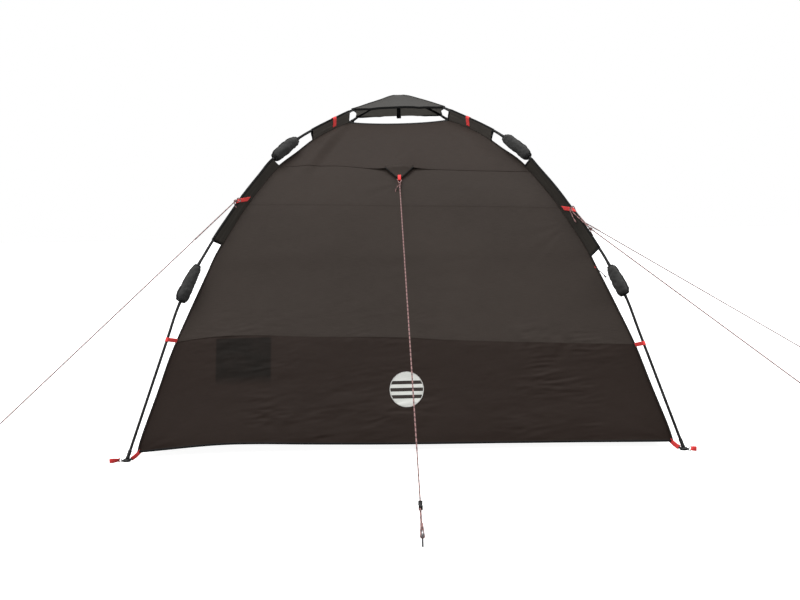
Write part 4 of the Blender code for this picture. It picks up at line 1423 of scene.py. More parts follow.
def web_place(leg, seam, seed):
    """A web's points: rows 0 to 1 run from the corner seam to the tube, 1 to 2 go round it, and 2 to 3
    come back to the seam as the second layer."""
    def place(u, row):
        share = (u + 1.0) / 2.0
        r = leg[0] + (leg[1] - leg[0]) * share
        centre = in_plane(r)
        along = (in_plane(r + 0.005) - in_plane(r - 0.005)).normalized()
        z = seam[0] + (seam[1] - seam[0]) * share
        root = out_at(ridge_reach(z) - 0.001, z)
        inward = root - centre
        inward -= along * inward.dot(along)
        leave = math.acos(SLEEVE_R / inward.length)
        inward.normalize()
        side_sign = -1.0 if row <= 1.5 else 1.0
        touch = centre + inward * (SLEEVE_R * math.cos(leave))
        touch += SIDEWAYS * (side_sign * SLEEVE_R * math.sin(leave))
        run = (touch - root).length
        if 1.0 < row < 2.0:
            angle = leave + (math.tau - 2.0 * leave) * (row - 1.0)
            point = centre + inward * (SLEEVE_R * math.cos(angle)) - SIDEWAYS * (SLEEVE_R * math.sin(angle))
            return point, 0.0, (share * 0.25, run + SLEEVE_R * (angle - leave))
        out = row if row <= 1.0 else 3.0 - row
        point = (root + SIDEWAYS * (side_sign * SEWN_HALF)).lerp(touch, out)
        slack = 0.0011 * ripple(share * 4.5, out * 1.5, seed)
        slack += 0.0018 * ripple(share * 2.4, out * 6.5, seed + 2.0)
        point += SIDEWAYS * (math.sin(math.pi * out) * slack)
        return point, 0.0, (share * 0.25, run * (out if row <= 1.0 else 2.0 - out) + 0.02 * side_sign)
    return place


# Painted light: two copies of the same cloth, the upper webs' coloured much lighter than the walls' and the
# lower webs' a little lighter, as light falls on them
lit_and_shaded_web_cloths = {
    "upper": tent_cloth("upper_web_cloth", [], colour=(0.064, 0.0570, 0.0500), shade=(0.042, 0.0370, 0.0322),
                        tint=(0.078, 0.0700, 0.0625)),
    "lower": tent_cloth("lower_web_cloth", [], colour=(0.043, 0.0385, 0.0330), shade=(0.026, 0.0230, 0.0196),
                        tint=(0.054, 0.0485, 0.0425))}
edge_tape = tent_cloth("web_edge_tape", [], colour=(0.007, 0.0066, 0.0062), shade=(0.004, 0.0038, 0.0036),
                       tint=(0.011, 0.0104, 0.0098))
TAPED_ROWS = (1.0, 1.95)
for index, (corner_name, turn_corner) in enumerate(CORNER_TURN.items()):
    for level_name, legs, seams in (("upper", UPPER_WEB, UPPER_SEAM), ("lower", LOWER_WEB, LOWER_SEAM)):
        name = "%s_%s_web" % (corner_name, level_name)
        place = web_place(legs[corner_name], seams[corner_name], 5.0 * index + len(level_name))
        columns = even(-1.0, 1.0, 41)
        web = panel(name + "_cloth", columns, WEB_ROWS, place, (lit_and_shaded_web_cloths[level_name],) * 2, "tent_fabric",
                    [name], turn_corner, 0.0009)
        for mat in (edge_tape,) * 2:      # one for the tape's outer side and one for its inner side
            web.data.materials.append(mat)
        for face in web.data.polygons:
            if TAPED_ROWS[0] < WEB_ROWS[face.index // (len(columns) - 1)] < TAPED_ROWS[1]:
                face.material_index = 2
        lengths = [sum((place(u, b)[0] - place(u, a)[0]).length for a, b in zip(WEB_ROWS, WEB_ROWS[1:]))
                   for u in columns]
        along = sum((place(b, 0.5)[0] - place(a, 0.5)[0]).length for a, b in zip(columns, columns[1:]))
        for end in (-1.0, 1.0):
            edge = [place(end, row)[0] for row in even(0.0, 1.0, 9)]
            across_edge = (place(end, 0.5)[0] - place(end * 0.95, 0.5)[0]).normalized()
            tape = sweep("%s_%s_tape" % (name, "top" if end < 0.0 else "low"), edge,
                         strap_section(0.010, 0.0030), across_edge)
            add_turned(tape, turn_corner, black_binding, "tent_fabric")


# Red straps on the legs
# Pieces of 20 mm red webbing looped over the tubes: a tab near the top of each upper web, a strap
# from the corner seam on each lower web that carries the guy line, and a side strap to the wall's seam.

def leg_way(r):
    """The direction of the leg's tube at r, downwards."""
    return (in_plane(r + 0.004) - in_plane(r - 0.004)).normalized()


def looped_strap(name, r, toward, width, length, gap, root_gap, turn_corner, across=6, mat=red_webbing):
    """Webbing that comes from a root, goes over the tube and back; toward points from tube to root."""
    along = leg_way(r)
    toward = toward.normalized()
    wide = Vector((-toward.z, 0.0, toward.x))
    slope = along.dot(wide)
    flank = [(length * i / 9, gap + (root_gap - gap) * i / 9) for i in range(9, 0, -1)]
    edges = []
    for sign in (-1.0, 1.0):
        centre = in_plane(r) + along * (sign * width * 0.5 / slope)
        line = [centre + toward * away + SIDEWAYS * bow for away, bow in flank]
        for i in range(13):
            angle = math.pi * i / 12
            line.append(centre - toward * (gap / abs(slope) * math.sin(angle))
                        + SIDEWAYS * (gap * math.cos(angle)))
        line += [centre + toward * away - SIDEWAYS * bow for away, bow in reversed(flank)]
        edges.append(line)
    return ribbon(name, *edges, STRAP, mat, "webbing", turn_corner, across)


TOP_TAB = {"back_left": 0.322, "back_right": 0.347, "front_right": 0.335, "front_left": 0.335}
MID_STRAP = {"back_left": (0.742, 1.122, 0.707), "back_right": (0.790, 1.046, 0.755),
             "front_right": (0.790, 1.046, 0.755), "front_left": (0.742, 1.122, 0.707)}
SIDE_STRAP = {"back_left": (1.0395, 0.497), "back_right": (1.0585, 0.437), "front_right": (1.049, 0.467),
              "front_left": (1.049, 0.467)}
for corner_name, turn_corner in CORNER_TURN.items():
    looped_strap(corner_name + "_top_tab", TOP_TAB[corner_name], Vector((0.0, 0.0, -1.0)), 0.021, 0.038,
                 SLEEVE_R + 0.0012, 0.0046, turn_corner)
    mid_r, mid_z, root_r = MID_STRAP[corner_name]
    side_r, side_z = SIDE_STRAP[corner_name]
    for strap_name, r, root, gap, root_gap in (
            ("mid_strap", mid_r, out_at(root_r, mid_z), SLEEVE_R + 0.0012, 0.0062),
            ("side_strap", side_r, out_at(ridge_reach(side_z) + 0.002, side_z), TUBE_R + 0.0012, 0.0010)):
        toward = root - in_plane(r)
        looped_strap("%s_%s" % (corner_name, strap_name), r, toward, 0.018, toward.length, gap, root_gap,
                     turn_corner)


# Top cap
# A square of the same cloth over the hub, sewn of four gores with a seam on each hip, bound in black
# at its hem. Its corners are tied down to the upper tubes, and the hem dips between them.

CAP_R = 0.236
CAP_LINE = [(0.0, 1.6590), (0.018, 1.6572), (0.054, 1.6475), (0.108, 1.6262), (0.157, 1.6060),
            (0.200, 1.5870), (CAP_R, 1.5707)]
CAP_ARCH = 0.010      # how far the hem over the back wall is drawn up in its middle
CAP_DIPS = (-0.146, 0.110)
cap_height = reader(fair_line(CAP_LINE))
CAP_STEPS = 56


def cap_point(a, b):
    """A point of the cap's upper face, for a and b from -1 to 1 over its square."""
    x = a * CAP_R
    y = b * CAP_R
    far = max(abs(x), abs(y))
    near = min(abs(x), abs(y))
    share = 1.0 - (near / far) ** 2 if far > 1e-9 else 0.0
    reach = far / CAP_R
    pull = 1.0 - 0.012 / CAP_R * share * reach
    hip = math.exp(-((abs(x) - abs(y)) / 0.018) ** 2) * min(1.0, far / 0.05)
    height = cap_height(far) - 0.003 * share * reach - 0.006 * share * reach * (1.0 - reach) * 3.0
    height += 0.0012 * hip - 0.0010
    for dip in CAP_DIPS:
        height -= 0.0035 * math.exp(-((x - dip) / 0.022) ** 2) * share * max(0.0, reach * 3.0 - 2.0)
    if y < 0.0 and -y >= abs(x):
        height += CAP_ARCH * share * share * reach ** 2
    height -= 0.005 * max(0.0, min(1.0, (-x - 0.02) / 0.06)) * max(0.0, 1.0 - reach ** 6)
    height += (0.0016 * ripple(x * 8.0, y * 8.0, 3.3) + 0.0006 * ripple(x * 26.0, y * 26.0, 8.3)) * share
    fan = math.cos(math.atan2(y, x) * 22.0 + 2.0 * ripple(x * 4.0, y * 4.0, 1.0))
    height += 0.0012 * fan * share * math.exp(-((far - 0.075) / 0.030) ** 2)
    return Vector((x * pull, y * pull, height))


def cap_surface():
    steps = even(-1.0, 1.0, CAP_STEPS + 1)
    points = [[cap_point(a, b) for a in steps] for b in steps]
    return cloth_mesh("top_cap_cloth", points, [[(p.x, p.y) for p in line] for line in points])


cap_cloth = tent_cloth("cap_cloth", [], colour=(0.070, 0.0675, 0.0635), shade=(0.050, 0.0482, 0.0452),
                       tint=(0.083, 0.080, 0.0755))
# Painted light: the cap's inner face is coloured much lighter than its cloth and glows faintly, so its
# underside looks lit
cap_lining_painted_light = tent_cloth("cap_lining_painted_light", [], colour=(0.40, 0.375, 0.33), shade=(0.32, 0.30, 0.264),
                        tint=(0.46, 0.435, 0.385))
painted_glow = cap_lining_painted_light.node_tree.nodes["Principled BSDF"].inputs
painted_glow["Emission Color"].default_value = (1.0, 0.95, 0.84, 1.0)
painted_glow["Emission Strength"].default_value = 0.031
cap = add_piece("top_cap_cloth", cap_surface(), cap_cloth, "cap_fabric", ["top_cap"])
cap.data.materials.append(cap_lining_painted_light)
thicken(cap, 0.0011, -1.0, 1)
for side, side_name in enumerate(SIDES):
    edge = [cap_point(a, -1.0) + Vector((0.0, 0.001, -0.0030)) for a in even(-0.985, 0.985, 50)]
    tape = sweep(side_name + "_cap_binding", edge, strap_section(0.012, 0.0032), Vector((0.0, -0.35, 1.0)))
    add_turned(tape, turn_side(side), black_binding, "cap_fabric")
hip_meshes = []
for corner in CORNERS.values():
    ridge = [cap_point(corner[0] * a, corner[1] * a) + Vector((0.0, 0.0, 0.0004))
             for a in even(0.10, 0.985, 40)]
    hip_meshes.append(sweep("cap_hip", ridge, strap_section(0.0085, 0.0016),
                            Vector((corner[1], -corner[0], 0.0)).normalized()))
add_piece("cap_hip_seams", join_meshes("cap_hip_seams", hip_meshes), cap_cloth, "cap_fabric")
CAP_TIE_R = 0.243
tie_way = out_at(CAP_R - 0.006, cap_height(CAP_R) - 0.004) - in_plane(CAP_TIE_R)
for corner_name, turn_corner in CORNER_TURN.items():
    looped_strap(corner_name + "_cap_tie", CAP_TIE_R, tie_way, 0.010, max(tie_way.length, 0.006),
                 TUBE_R + 0.0012, 0.0012, turn_corner, across=4, mat=black_webbing)


# Guy lines and pegs
# Braided cord, pink and red with a dark tracer strand, knotted to its strap or tab, with a plastic
# runner that takes up its slack and a bent steel wire peg.

GUY_R = 0.0026
PEG_R = 0.0033
PEG_TOP = 0.055
HOOK_Z = 0.033
STRAND_PITCH = 0.0042
TRACER_PITCH = 0.026
UP = Vector((0.0, 0.0, 1.0))
PEGS = {"back_left": (-1.80, -1.80), "back_right": (1.92, -1.92), "front_left": (-1.30, 2.25),
        "front_right": (1.30, 2.25), "back": (0.060, -2.50), "right": (2.52, 0.0)}


def make_braid():
    """Braided cord: strands that cross both ways, some of them red, and a dark tracer that winds round."""
    tree, given, out = new_effect("braid", [
        ("Place", VECTOR, None), ("Colour", COLOUR, None), ("Fleck", COLOUR, None), ("Tracer", COLOUR, None)],
        [("Colour", COLOUR), ("Height", FLOAT)])
    parts = add_node(tree, "ShaderNodeSeparateXYZ", [given["Place"]]).outputs
    along = sum_up(tree, "MULTIPLY", parts[0], 1.0 / STRAND_PITCH)
    around = sum_up(tree, "MULTIPLY", parts[1], 2.0 / (math.tau * GUY_R))
    rising = sum_up(tree, "FRACT", sum_up(tree, "ADD", along, around))
    falling = sum_up(tree, "FRACT", sum_up(tree, "SUBTRACT", along, around))
    fleck = sum_up(tree, "MAXIMUM", sum_up(tree, "LESS_THAN", rising, 0.20),
                   sum_up(tree, "LESS_THAN", falling, 0.18))
    strands = blend_colour(tree, fleck, given["Colour"], given["Fleck"])
    winding = sum_up(tree, "ADD", sum_up(tree, "MULTIPLY", parts[0], 1.0 / TRACER_PITCH),
                     sum_up(tree, "MULTIPLY", parts[1], 0.12 / (math.tau * GUY_R)))
    on_tracer = sum_up(tree, "LESS_THAN", sum_up(tree, "FRACT", winding), 0.38)
    tracer = sum_up(tree, "MULTIPLY", on_tracer, 0.85)
    tree.links.new(blend_colour(tree, tracer, strands, given["Tracer"]), out["Colour"])
    waves = sum_up(tree, "ADD", sum_up(tree, "SINE", sum_up(tree, "MULTIPLY", rising, math.tau)),
                   sum_up(tree, "SINE", sum_up(tree, "MULTIPLY", falling, math.tau)))
    tree.links.new(waves, out["Height"])
    return tree


BRAID = make_braid()
guy_cord, cord_tree, cord_shader = start_material("guy_cord", Roughness=0.6, Sheen_Weight=0.1)
cord_braid = apply_effect(cord_tree, BRAID, Place=cloth_map(cord_tree), Colour=(0.31, 0.205, 0.195, 1.0),
                          Fleck=(0.245, 0.052, 0.049, 1.0), Tracer=(0.062, 0.024, 0.025, 1.0))
cord_tree.links.new(cord_braid["Colour"], cord_shader.inputs["Base Color"])
add_relief(cord_tree, cord_shader, cord_braid["Height"], 0.0002)


def smooth_run(points, steps):
    """A smooth line through points in space."""
    knots = [points[0] * 2.0 - points[1]] + list(points) + [points[-1] * 2.0 - points[-2]]
    line = []
    for i in range(1, len(knots) - 2):
        before, a, b, after = knots[i - 1:i + 3]
        for step in range(steps):
            t = step / steps
            line.append(0.5 * (2.0 * a + (b - before) * t + (2.0 * before - 5.0 * a + 4.0 * b - after) * t * t
                               + (3.0 * a - before - 3.0 * b + after) * t ** 3))
    line.append(points[-1].copy())
    return line


def stopper_knot(place, run, aside, tail, radius):
    """A half hitch round the standing line, with its tail."""
    over = run.cross(aside).normalized()
    round_line = radius * 1.9
    turns = []
    for i in range(15):
        angle = math.tau * 2.1 * i / 14
        turns.append(place + run * (0.00088 * i) + aside * (round_line * math.cos(angle))
                     + over * (round_line * math.sin(angle)))
    turns += [turns[-1] + (tail - turns[-1]) * share + aside * 0.004 * math.sin(math.pi * share)
              for share in (0.2, 0.4, 0.6, 0.8, 1.0)]
    return smooth_run(turns, 4)


def guy_line(name, tie, hitch, peg, runner_at, tail_way, replaced, spare=None):
    """A line from its tie to its peg; hitch is the route of its loop round what it hangs from, and spare
    that of the loose end of the loop."""
    ground = Vector((*peg, 0.0))
    hook = ground + UP * HOOK_Z
    away = Vector((peg[0] - tie.x, peg[1] - tie.y, 0.0)).normalized()
    run = (hook - tie).normalized()
    aside = run.cross(UP).normalized()
    up = aside.cross(run).normalized()
    start = tie + run * 0.010
    steps = max(20, int((hook - tie).length / 0.06))
    main = [start.lerp(hook - run * 0.012, i / steps) for i in range(steps + 1)]
    cords = [sweep("cord", main, ring_section(GUY_R, 10))]
    strand = ring_section(GUY_R * 0.95, 10)
    loop = [start + run * 0.004] + hitch + [start + run * 0.004]
    cords.append(sweep("loop", smooth_run(loop, 6), strand))
    cords.append(sweep("knot", stopper_knot(start + run * 0.002, run, aside, start + tail_way, GUY_R),
                       ring_section(GUY_R * 0.9, 10)))
    if spare:
        cords.append(sweep("spare", smooth_run(spare, 5), strand))
    eye = [hook - run * 0.055 + aside * 0.0022, hook - run * 0.028 + aside * 0.0042]
    eye += arc(hook, aside, run, 0.0058, 0.0, 180.0, 7)
    eye += [hook - run * 0.028 - aside * 0.0042, hook - run * 0.055 - aside * 0.0022]
    runner = hook - run * runner_at
    second = [runner + up * 0.0052 + aside * 0.001]
    second += [runner.lerp(hook - run * 0.055, share) + up * (0.0052 * (1.0 - share)) + aside * 0.0022
               for share in (0.2, 0.45, 0.7, 1.0)]
    cords.append(sweep("eye", smooth_run(second[:-1] + eye[:1], 4)[:-1] + smooth_run(eye, 5), strand))
    add_piece(name + "_cord", join_meshes(name + "_cord", cords), guy_cord, "guy_cord", replaced)

    place = pointing(runner + up * 0.002, run, up)
    runner_parts = [rounded_block("runner_body", (0.012, 0.0165, 0.030), 0.003, place)]
    for reach in (0.0105, -0.0105):
        runner_parts.append(rounded_block("runner_grip", (0.0145, 0.0205, 0.0045), 0.0018,
                                          place @ Matrix.Translation((0.0, 0.0, reach))))
    add_piece(name + "_runner", join_meshes(name + "_runner", runner_parts), black_plastic, "black_plastic")

    shaft = [ground, ground + UP * 0.020, ground + UP * (PEG_TOP * 0.72)]
    bend = arc(ground + UP * (PEG_TOP * 0.78) + away * 0.010, -away, UP, 0.010, 0.0, 175.0, 12)
    bend.append(bend[-1] - UP * 0.008)
    peg_line = smooth_run(shaft + bend, 3)
    add_piece(name + "_peg", sweep(name + "_peg", peg_line, ring_section(PEG_R, 14)), steel, "steel")


LEFT_GUY_R = 0.742
RIGHT_GUY_R = 0.845
GUY_BESIDE = SLEEVE_R + STRAP + 0.0045
HITCH_STEPS = ((1.0, 0.15, 0.9), (0.3, 0.3, 0.95), (-0.1, 0.72, 0.72), (-0.2, 1.0, 0.0), (-0.1, 0.72, -0.72),
               (0.3, 0.3, -0.95), (1.0, 0.15, -0.9))
SPARE_STEPS = ((0.004, 0.010), (0.002, -0.006), (0.012, -0.026), (0.022, -0.044), (0.036, -0.062))
for corner_name, corner in CORNERS.items():
    on_right = corner[0] > 0
    turn_corner = CORNER_TURN[corner_name]
    strap_at = in_plane(MID_STRAP[corner_name][0])
    strap_run = leg_way(MID_STRAP[corner_name][0])
    strap_out = Vector((-strap_run.z, 0.0, strap_run.x))
    drop = 0.030 if on_right else 0.010
    hitch = [strap_at + strap_run * (drop * share) + strap_out * (GUY_BESIDE * over)
             + SIDEWAYS * (GUY_BESIDE * aside) for share, over, aside in HITCH_STEPS]
    tie_r = RIGHT_GUY_R if on_right else LEFT_GUY_R
    tie_run = leg_way(tie_r)
    tie = in_plane(tie_r) + Vector((-tie_run.z, 0.0, tie_run.x)) * (GUY_BESIDE - 0.0010)
    spare = None
    if on_right:
        near = strap_at + SIDEWAYS * ((GUY_BESIDE + 0.0035) * corner[1])
        spare = [turn_corner @ (near + Vector((out, 0.0, rise))) for out, rise in SPARE_STEPS]
    guy_line(corner_name + "_guy", turn_corner @ tie, [turn_corner @ p for p in hitch], PEGS[corner_name],
             0.34, turn_corner @ Vector((0.012, 0.010, -0.035)), [corner_name + "_guy_line"], spare)
for side in GUYED_SIDES:
    side_name = SIDES[side]
    eye = tab_ends[side] + Vector((0.0, -0.005, -0.0105))
    hitch = [eye + Vector((TAB_WEBBING + 0.0024, -0.001, -0.002)), eye,
             eye + Vector((-TAB_WEBBING - 0.0024, -0.001, -0.002))]
    turning = turn_side(side)
    tie = turning @ (eye + Vector((0.0, -0.006, -0.012)))
    guy_line(side_name + "_guy", tie, [turning @ p for p in hitch], PEGS[side_name], 0.13,
             turning @ Vector((-0.020, -0.010, -0.040)), [side_name + "_guy_line"])


# Groundsheet
# A square of pale grey coated sheet that lies loose on the ground inside the walls, creased from its
# packing folds.

SHEET_HALF = 0.88
PACKING_FOLDS = (-0.44, 0.0, 0.44)
sheet_cloth = cloth_material("sheet_coating", (0.30, 0.31, 0.32), (0.24, 0.25, 0.26), (0.36, 0.37, 0.38),
                             thread=0.0022, tone_size=2.4, tone=0.4, relief=0.0004, contrast=0.4)


def sheet_place(u, row):
    x = u * SHEET_HALF
    y = (2.0 * row - 1.0) * SHEET_HALF
    crease = 0.0
    for at in PACKING_FOLDS:
        crease += math.exp(-((x - at) / 0.006) ** 2) + math.exp(-((y - at) / 0.006) ** 2)
    height = 0.0020 + 0.0012 * crease + 0.0012 * abs(ripple(x * 3.0, y * 3.0, 17.0)) \
        + 0.0010 * abs(ripple(x * 11.0, y * 11.0, 19.0))
    return Vector((x, y, height)), 0.0, (x, y)


ground_sheet = panel("groundsheet_cloth", even(-1.0, 1.0, 101), even(0.0, 1.0, 101), sheet_place,
                     (sheet_cloth, sheet_cloth), "groundsheet_fabric", ["groundsheet"],
                     thickness=0.0010)


# Storage pocket
# A flat pocket of the same cloth inside the back wall, sewn round three sides, with an elastic mouth.

def pocket_place(u, row):
    x = (POCKET_X[0] + POCKET_X[1]) / 2.0 + u * (POCKET_X[1] - POCKET_X[0]) / 2.0
    z = POCKET_Z[0] + 0.004 + (POCKET_Z[1] - POCKET_Z[0] - 0.004) * row
    belly = (1.0 - u * u) * (0.25 + 0.75 * row) * min(1.0, row * 6.0)
    inside = 0.0024 + 0.0080 * belly + 0.0018 * belly * ripple(x * 22.0, z * 14.0, 4.0)
    return on_wall(0, x, z, -inside), 0.0, (x, z)


pocket = panel("storage_pocket_cloth", even(-1.0, 1.0, 50), even(0.0, 1.0, 40), pocket_place,
               (inner_cloth, inner_cloth), "tent_fabric", ["storage_pocket"], thickness=0.0010)
mouth = [pocket_place(u, 1.0)[0] + Vector((0.0, 0.0004, 0.0)) for u in even(-1.0, 1.0, 40)]
add_piece("pocket_mouth", sweep("pocket_mouth", mouth, strap_section(0.010, 0.0028), UP), black_binding,
          "tent_fabric")


# Patch
# A round patch of pale woven cloth sewn to the middle of the back wall's lowest strip, with an
# overcast edge and three plain dark bars woven across it.

PATCH_AT = Vector((0.014, 0.261))
PATCH_R = 0.075
PATCH_BARS = (-0.030, 0.0, 0.030)
PATCH_BAR_HALF = 0.0075
PATCH_SIDES = 72
PATCH_RINGS = 12


def patch_place(share, angle):
    x = PATCH_AT.x + PATCH_R * share * math.cos(angle)
    z = PATCH_AT.y + PATCH_R * share * math.sin(angle)
    return on_wall(0, x, z, 0.0010)


def make_patch():
    bm = bmesh.new()
    uv = bm.loops.layers.uv.new("UVMap")
    middle = bm.verts.new(patch_place(0.0, 0.0))
    rings = [[bm.verts.new(patch_place(i / PATCH_RINGS, math.tau * k / PATCH_SIDES))
              for k in range(PATCH_SIDES)] for i in range(1, PATCH_RINGS + 1)]
    for k in range(PATCH_SIDES):
        n = (k + 1) % PATCH_SIDES
        bm.faces.new((middle, rings[0][k], rings[0][n]))
        for inner, outer in zip(rings, rings[1:]):
            bm.faces.new((inner[k], outer[k], outer[n], inner[n]))
    for face in bm.faces:
        face.smooth = True
        for loop in face.loops:
            loop[uv].uv = (loop.vert.co.x - PATCH_AT.x, loop.vert.co.z - PATCH_AT.y)
    return mesh_of("back_patch", bm)


def patch_material():
    mat, tree, shader = start_material("patch_cloth", Specular_IOR_Level=0.2)
    place = cloth_map(tree)
    weave = apply_effect(tree, CLOTH_WEAVE, Place=place, Thread=0.0010, Colour=(0.66, 0.67, 0.64, 1.0),
                         Shade=(0.50, 0.51, 0.48, 1.0), Contrast=0.4)
    row = add_node(tree, "ShaderNodeSeparateXYZ", [place]).outputs[1]
    bars = None
    for bar in PATCH_BARS:
        away = sum_up(tree, "ABSOLUTE", sum_up(tree, "SUBTRACT", row, bar))
        mark = sum_up(tree, "LESS_THAN", away, PATCH_BAR_HALF)
        bars = mark if bars is None else sum_up(tree, "MAXIMUM", bars, mark)
    shown = blend_colour(tree, bars, weave["Colour"], (0.028, 0.023, 0.020, 1.0))
    tree.links.new(shown, shader.inputs["Base Color"])
    shader.inputs["Roughness"].default_value = 0.7
    add_relief(tree, shader, weave["Height"], 0.0002)
    return mat


patch = add_piece("back_patch", make_patch(), patch_material(), "tent_fabric")
thicken(patch, 0.0008, 1.0)
pale_thread = webbing_material("pale_thread", (0.62, 0.62, 0.59), (0.42, 0.42, 0.40))
edge_line = [patch_place(0.985, math.tau * k / 120) for k in range(120)]
add_piece("back_patch_edge", sweep("back_patch_edge", edge_line, ring_section(0.0019, 8), looped=True),
          pale_thread, "tent_fabric")


# Toggle tie
# On the right corner's seam, a small red tab holds a short stiff cord with a moulded knob.

TOGGLE_ROOT = out_at(0.8785, 0.775)
TOGGLE_END = out_at(0.917, 0.736)
TOGGLE_CORD_R = 0.0018
toggle_turn = CORNER_TURN["back_right"]
tab_way = Vector((0.86, 0.0, -0.50)).normalized()
tab_wide = Vector((0.42, 0.0, 0.90)).normalized()
tab_path = [TOGGLE_ROOT - tab_way * 0.010 + SIDEWAYS * 0.0022] \
    + arc(TOGGLE_ROOT + tab_way * 0.003, SIDEWAYS, tab_way, 0.0024, 0.0, 180.0, 9) \
    + [TOGGLE_ROOT - tab_way * 0.010 - SIDEWAYS * 0.0022]
ribbon("toggle_tab", [p - tab_wide * 0.004 for p in tab_path], [p + tab_wide * 0.004 for p in tab_path],
       0.0012, red_webbing, "webbing", toggle_turn)
toggle_run = (TOGGLE_END - TOGGLE_ROOT).normalized()
toggle_points = [toggle_turn @ p for p in smooth_run(
    [TOGGLE_ROOT + tab_way * 0.0035, TOGGLE_ROOT.lerp(TOGGLE_END, 0.35) + Vector((0.001, 0.0, 0.002)),
     TOGGLE_ROOT.lerp(TOGGLE_END, 0.7) + Vector((0.001, 0.0, 0.001)), TOGGLE_END], 8)]
toggle_braid = webbing_material("toggle_cord", (0.055, 0.038, 0.036), (0.030, 0.019, 0.018))
toggle_cord = add_piece("toggle_cord", sweep("toggle_cord", toggle_points, ring_section(TOGGLE_CORD_R, 10)),
                        toggle_braid, "guy_cord")
knob_line = [(0.0, -0.0065), (0.0026, -0.0062), (0.0036, -0.0045), (0.0030, -0.0010), (0.0032, 0.0010),
             (0.0046, 0.0035), (0.0044, 0.0055), (0.0030, 0.0068), (0.0, 0.0070)]
knob_place = toggle_turn @ pointing(TOGGLE_END, toggle_run)
knob = add_piece("toggle_knob", turned("toggle_knob", knob_line, 24, knob_place), black_plastic,
                 "black_plastic")
tie_length = sum((b - a).length for a, b in zip(toggle_points, toggle_points[1:]))
tuple(toggle_points[0])


# Doorway
# An arched opening in the front wall, bound in black and edged with a zip whose two sliders rest at
# the foot of the jambs.

DOOR_HALF = 0.40
DOOR_SILL = 0.110
DOOR_TOP = 1.130
DOOR_CORNER = 0.08
ZIP_OUT = 0.014
FRONT = 2
front_turn = turn_side(FRONT)


def door_outline(grow=0.0):
    """The doorway's outline in the front wall's own plane, from the foot's middle round to it again."""
    half = DOOR_HALF + grow
    sill = DOOR_SILL - grow
    corner = DOOR_CORNER + grow
    spring = DOOR_TOP - DOOR_HALF
    right = [(x, sill) for x in even(0.0, half - corner, 14)[:-1]]
    right += [(half - corner + corner * math.sin(math.pi / 2.0 * i / 10),
               sill + corner - corner * math.cos(math.pi / 2.0 * i / 10)) for i in range(11)]
    right += [(half, z) for z in even(sill + corner, spring, 26)[1:-1]]
    right += [(half * math.cos(math.pi / 2.0 * i / 30), spring + half * math.sin(math.pi / 2.0 * i / 30))
              for i in range(31)]
    return right + [(-x, z) for x, z in reversed(right[1:-1])]


def cut_doorway(wall):
    bm = bmesh.new()
    outline = door_outline()
    near = [bm.verts.new((x, -1.6, z)) for x, z in outline]
    far = [bm.verts.new((x, -0.3, z)) for x, z in outline]
    count = len(outline)
    bm.faces.new(near)
    bm.faces.new(far[::-1])
    for i in range(count):
        n = (i + 1) % count
        bm.faces.new((near[n], near[i], far[i], far[n]))
    bmesh.ops.recalc_face_normals(bm, faces=bm.faces)
    cutter_mesh = mesh_of("doorway_cutter", bm)
    cutter_mesh.transform(front_turn)
    cutter = stand("doorway_cutter", cutter_mesh)
    cut = wall.modifiers.new("doorway", "BOOLEAN")
    cut.operation = "DIFFERENCE"
    cut.object = cutter
    graph = bpy.context.evaluated_depsgraph_get()
    graph.update()
    opened = bpy.data.meshes.new_from_object(wall.evaluated_get(graph))
    wall.modifiers.clear()
    old = wall.data
    wall.data = opened
    opened.name = old.name
    bpy.data.objects.remove(cutter, do_unlink=True)


def round_doorway(name, grow, out, width, thickness, over=0.0):
    """Tape laid in the cloth's surface round the doorway, grow outside its outline."""
    outline = door_outline(grow)
    line = [on_wall(FRONT, x, z, out) for x, z in outline]
    ways = []
    for i, (x, z) in enumerate(outline):
        along = (line[(i + 1) % len(line)] - line[i - 1]).normalized()
        ways.append(wall_out(x, z).cross(along).normalized())
    raised = [p + wall_out(x, z) * over for p, (x, z) in zip(line, outline)]
    return sweep(name, raised, strap_section(width, thickness), ways, looped=True)


cut_doorway(walls["front"])
add_turned(round_doorway("doorway_binding", 0.001, -0.0005, 0.011, 0.0036), front_turn, black_binding,
           "tent_fabric")
zip_parts = [round_doorway("zip_tape", ZIP_OUT, 0.0008, 0.014, 0.0012),
             round_doorway("zip_coil", ZIP_OUT, 0.0008, 0.0045, 0.0018, over=0.0011)]
add_turned(join_meshes("doorway_zip", zip_parts), front_turn, black_binding, "tent_fabric")
sliders = []
for sign in (-1.0, 1.0):
    x = sign * (DOOR_HALF + ZIP_OUT - 0.006)
    z = DOOR_SILL + 0.085
    place = pointing(on_wall(FRONT, x, z, 0.0042), wall_out(x, z))
    sliders.append(rounded_block("zip_slider", (0.0095, 0.013, 0.0038), 0.0014, place))
    sliders.append(rounded_block("zip_pull", (0.0060, 0.030, 0.0016), 0.0007,
                                 place @ Matrix.Translation((0.0, -0.018, 0.0018)), 2))
add_turned(join_meshes("zip_sliders", sliders), front_turn, steel, "steel")


# Rolled door
# The door is a panel of the same cloth, rolled up from its free side and tied beside the doorway with
# two loops and toggles. Its last turn ends against the wall, where it's sewn on beside the jamb.

ROLL_R = 0.035
ROLL_TURNS = 5.6
ROLL_CORE = 0.007
ROLL_FOOT = 0.14
ROLL_HEAD = 1.05
TIE_HEIGHTS = (0.36, 0.82)
TIED_R = ROLL_R * 0.84


def roll_centre(z):
    x = -(DOOR_HALF + 0.055) + 0.10 * max(0.0, (z - 0.70) / 0.45) ** 2
    return x, body_point(x / ridge_reach(z), z) + wall_out(x, z) * (ROLL_R + 0.0012)


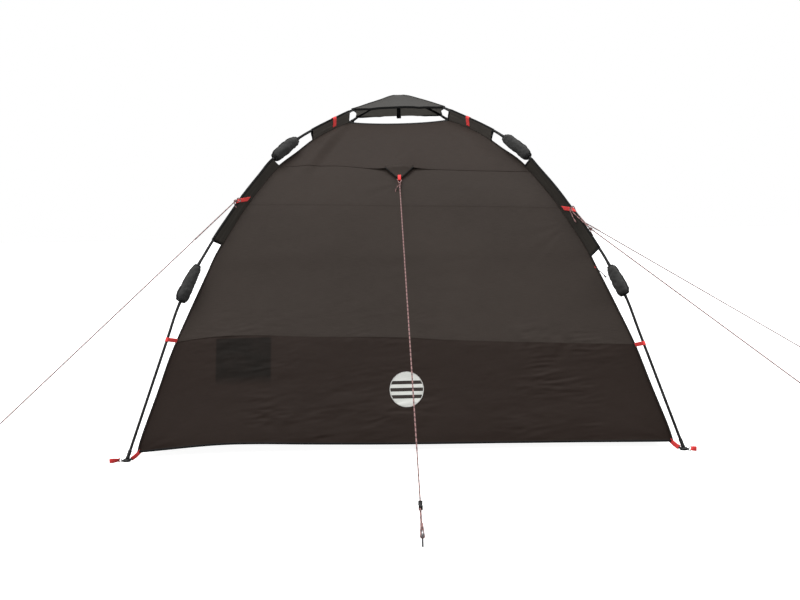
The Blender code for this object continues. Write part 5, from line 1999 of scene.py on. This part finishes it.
def roll_frame(z):
    """The roll's centre at a height, and the directions along it, out of the wall and aside."""
    x, centre = roll_centre(z)
    along = roll_centre(min(z + 0.01, ROLL_HEAD))[1] - roll_centre(max(z - 0.01, ROLL_FOOT))[1]
    along.normalize()
    out = wall_out(x, z)
    return centre, along, out, along.cross(out).normalized()


def roll_place(u, row):
    """Rows run from the roll's core outwards, one for each turn, and the last one ends at the wall."""
    z = ROLL_FOOT + (ROLL_HEAD - ROLL_FOOT) * (u + 1.0) / 2.0
    centre, _, out, aside = roll_frame(z)
    waist = 1.0 - 0.16 * sum(math.exp(-((z - tie) / 0.030) ** 2) for tie in TIE_HEIGHTS)
    end_slack = 1.0 - 0.06 * math.exp(-(ROLL_HEAD - z) / 0.05)
    share = row / ROLL_TURNS
    angle = math.tau * row
    flat = 1.0 + 0.05 * math.cos(2.0 * angle + 3.0 * z)
    radius = (ROLL_CORE + (ROLL_R - 0.0025 - ROLL_CORE) * share) * flat * waist * end_slack
    crumple = 0.0011 * ripple(angle * 0.7, z * 9.0, 60.0) + 0.0007 * ripple(angle * 1.9, z * 27.0, 66.0)
    radius += crumple * share
    point = centre + aside * (radius * math.cos(angle)) + out * (radius * math.sin(angle))
    return point, 0.0, (z, row * 0.13)


rolled = panel("rolled_door_cloth", even(-1.0, 1.0, 90), even(0.0, ROLL_TURNS, 150), roll_place,
               (wall_cloth, inner_cloth), "tent_fabric", ["rolled_door"], front_turn)
roll_ties = []
toggles = []
half_toggle = [(0.0036, 0.004), (0.0042, 0.011), (0.0030, 0.0128), (0.0, 0.013)]
toggle_line = [(radius, -height) for radius, height in reversed(half_toggle)] + half_toggle
for z in TIE_HEIGHTS:
    centre, along, out, aside = roll_frame(z)
    loop = []
    for k in range(40):
        angle = math.tau * k / 40
        to_wall = 0.004 if 22 < k < 38 else 0.0      # behind the roll the loop reaches back to the wall
        loop.append(centre + aside * ((TIED_R + 0.0022) * math.cos(angle))
                    + out * ((TIED_R + 0.0022) * math.sin(angle) - to_wall))
    roll_ties.append(sweep("roll_tie", loop, strap_section(0.010, 0.0014), along, looped=True))
    toggles.append(turned("toggle", toggle_line, 20, pointing(centre + out * (TIED_R + 0.0075), along, out)))
add_turned(join_meshes("roll_ties", roll_ties), front_turn, black_webbing, "webbing")
add_turned(join_meshes("roll_toggles", toggles), front_turn, black_plastic, "black_plastic")
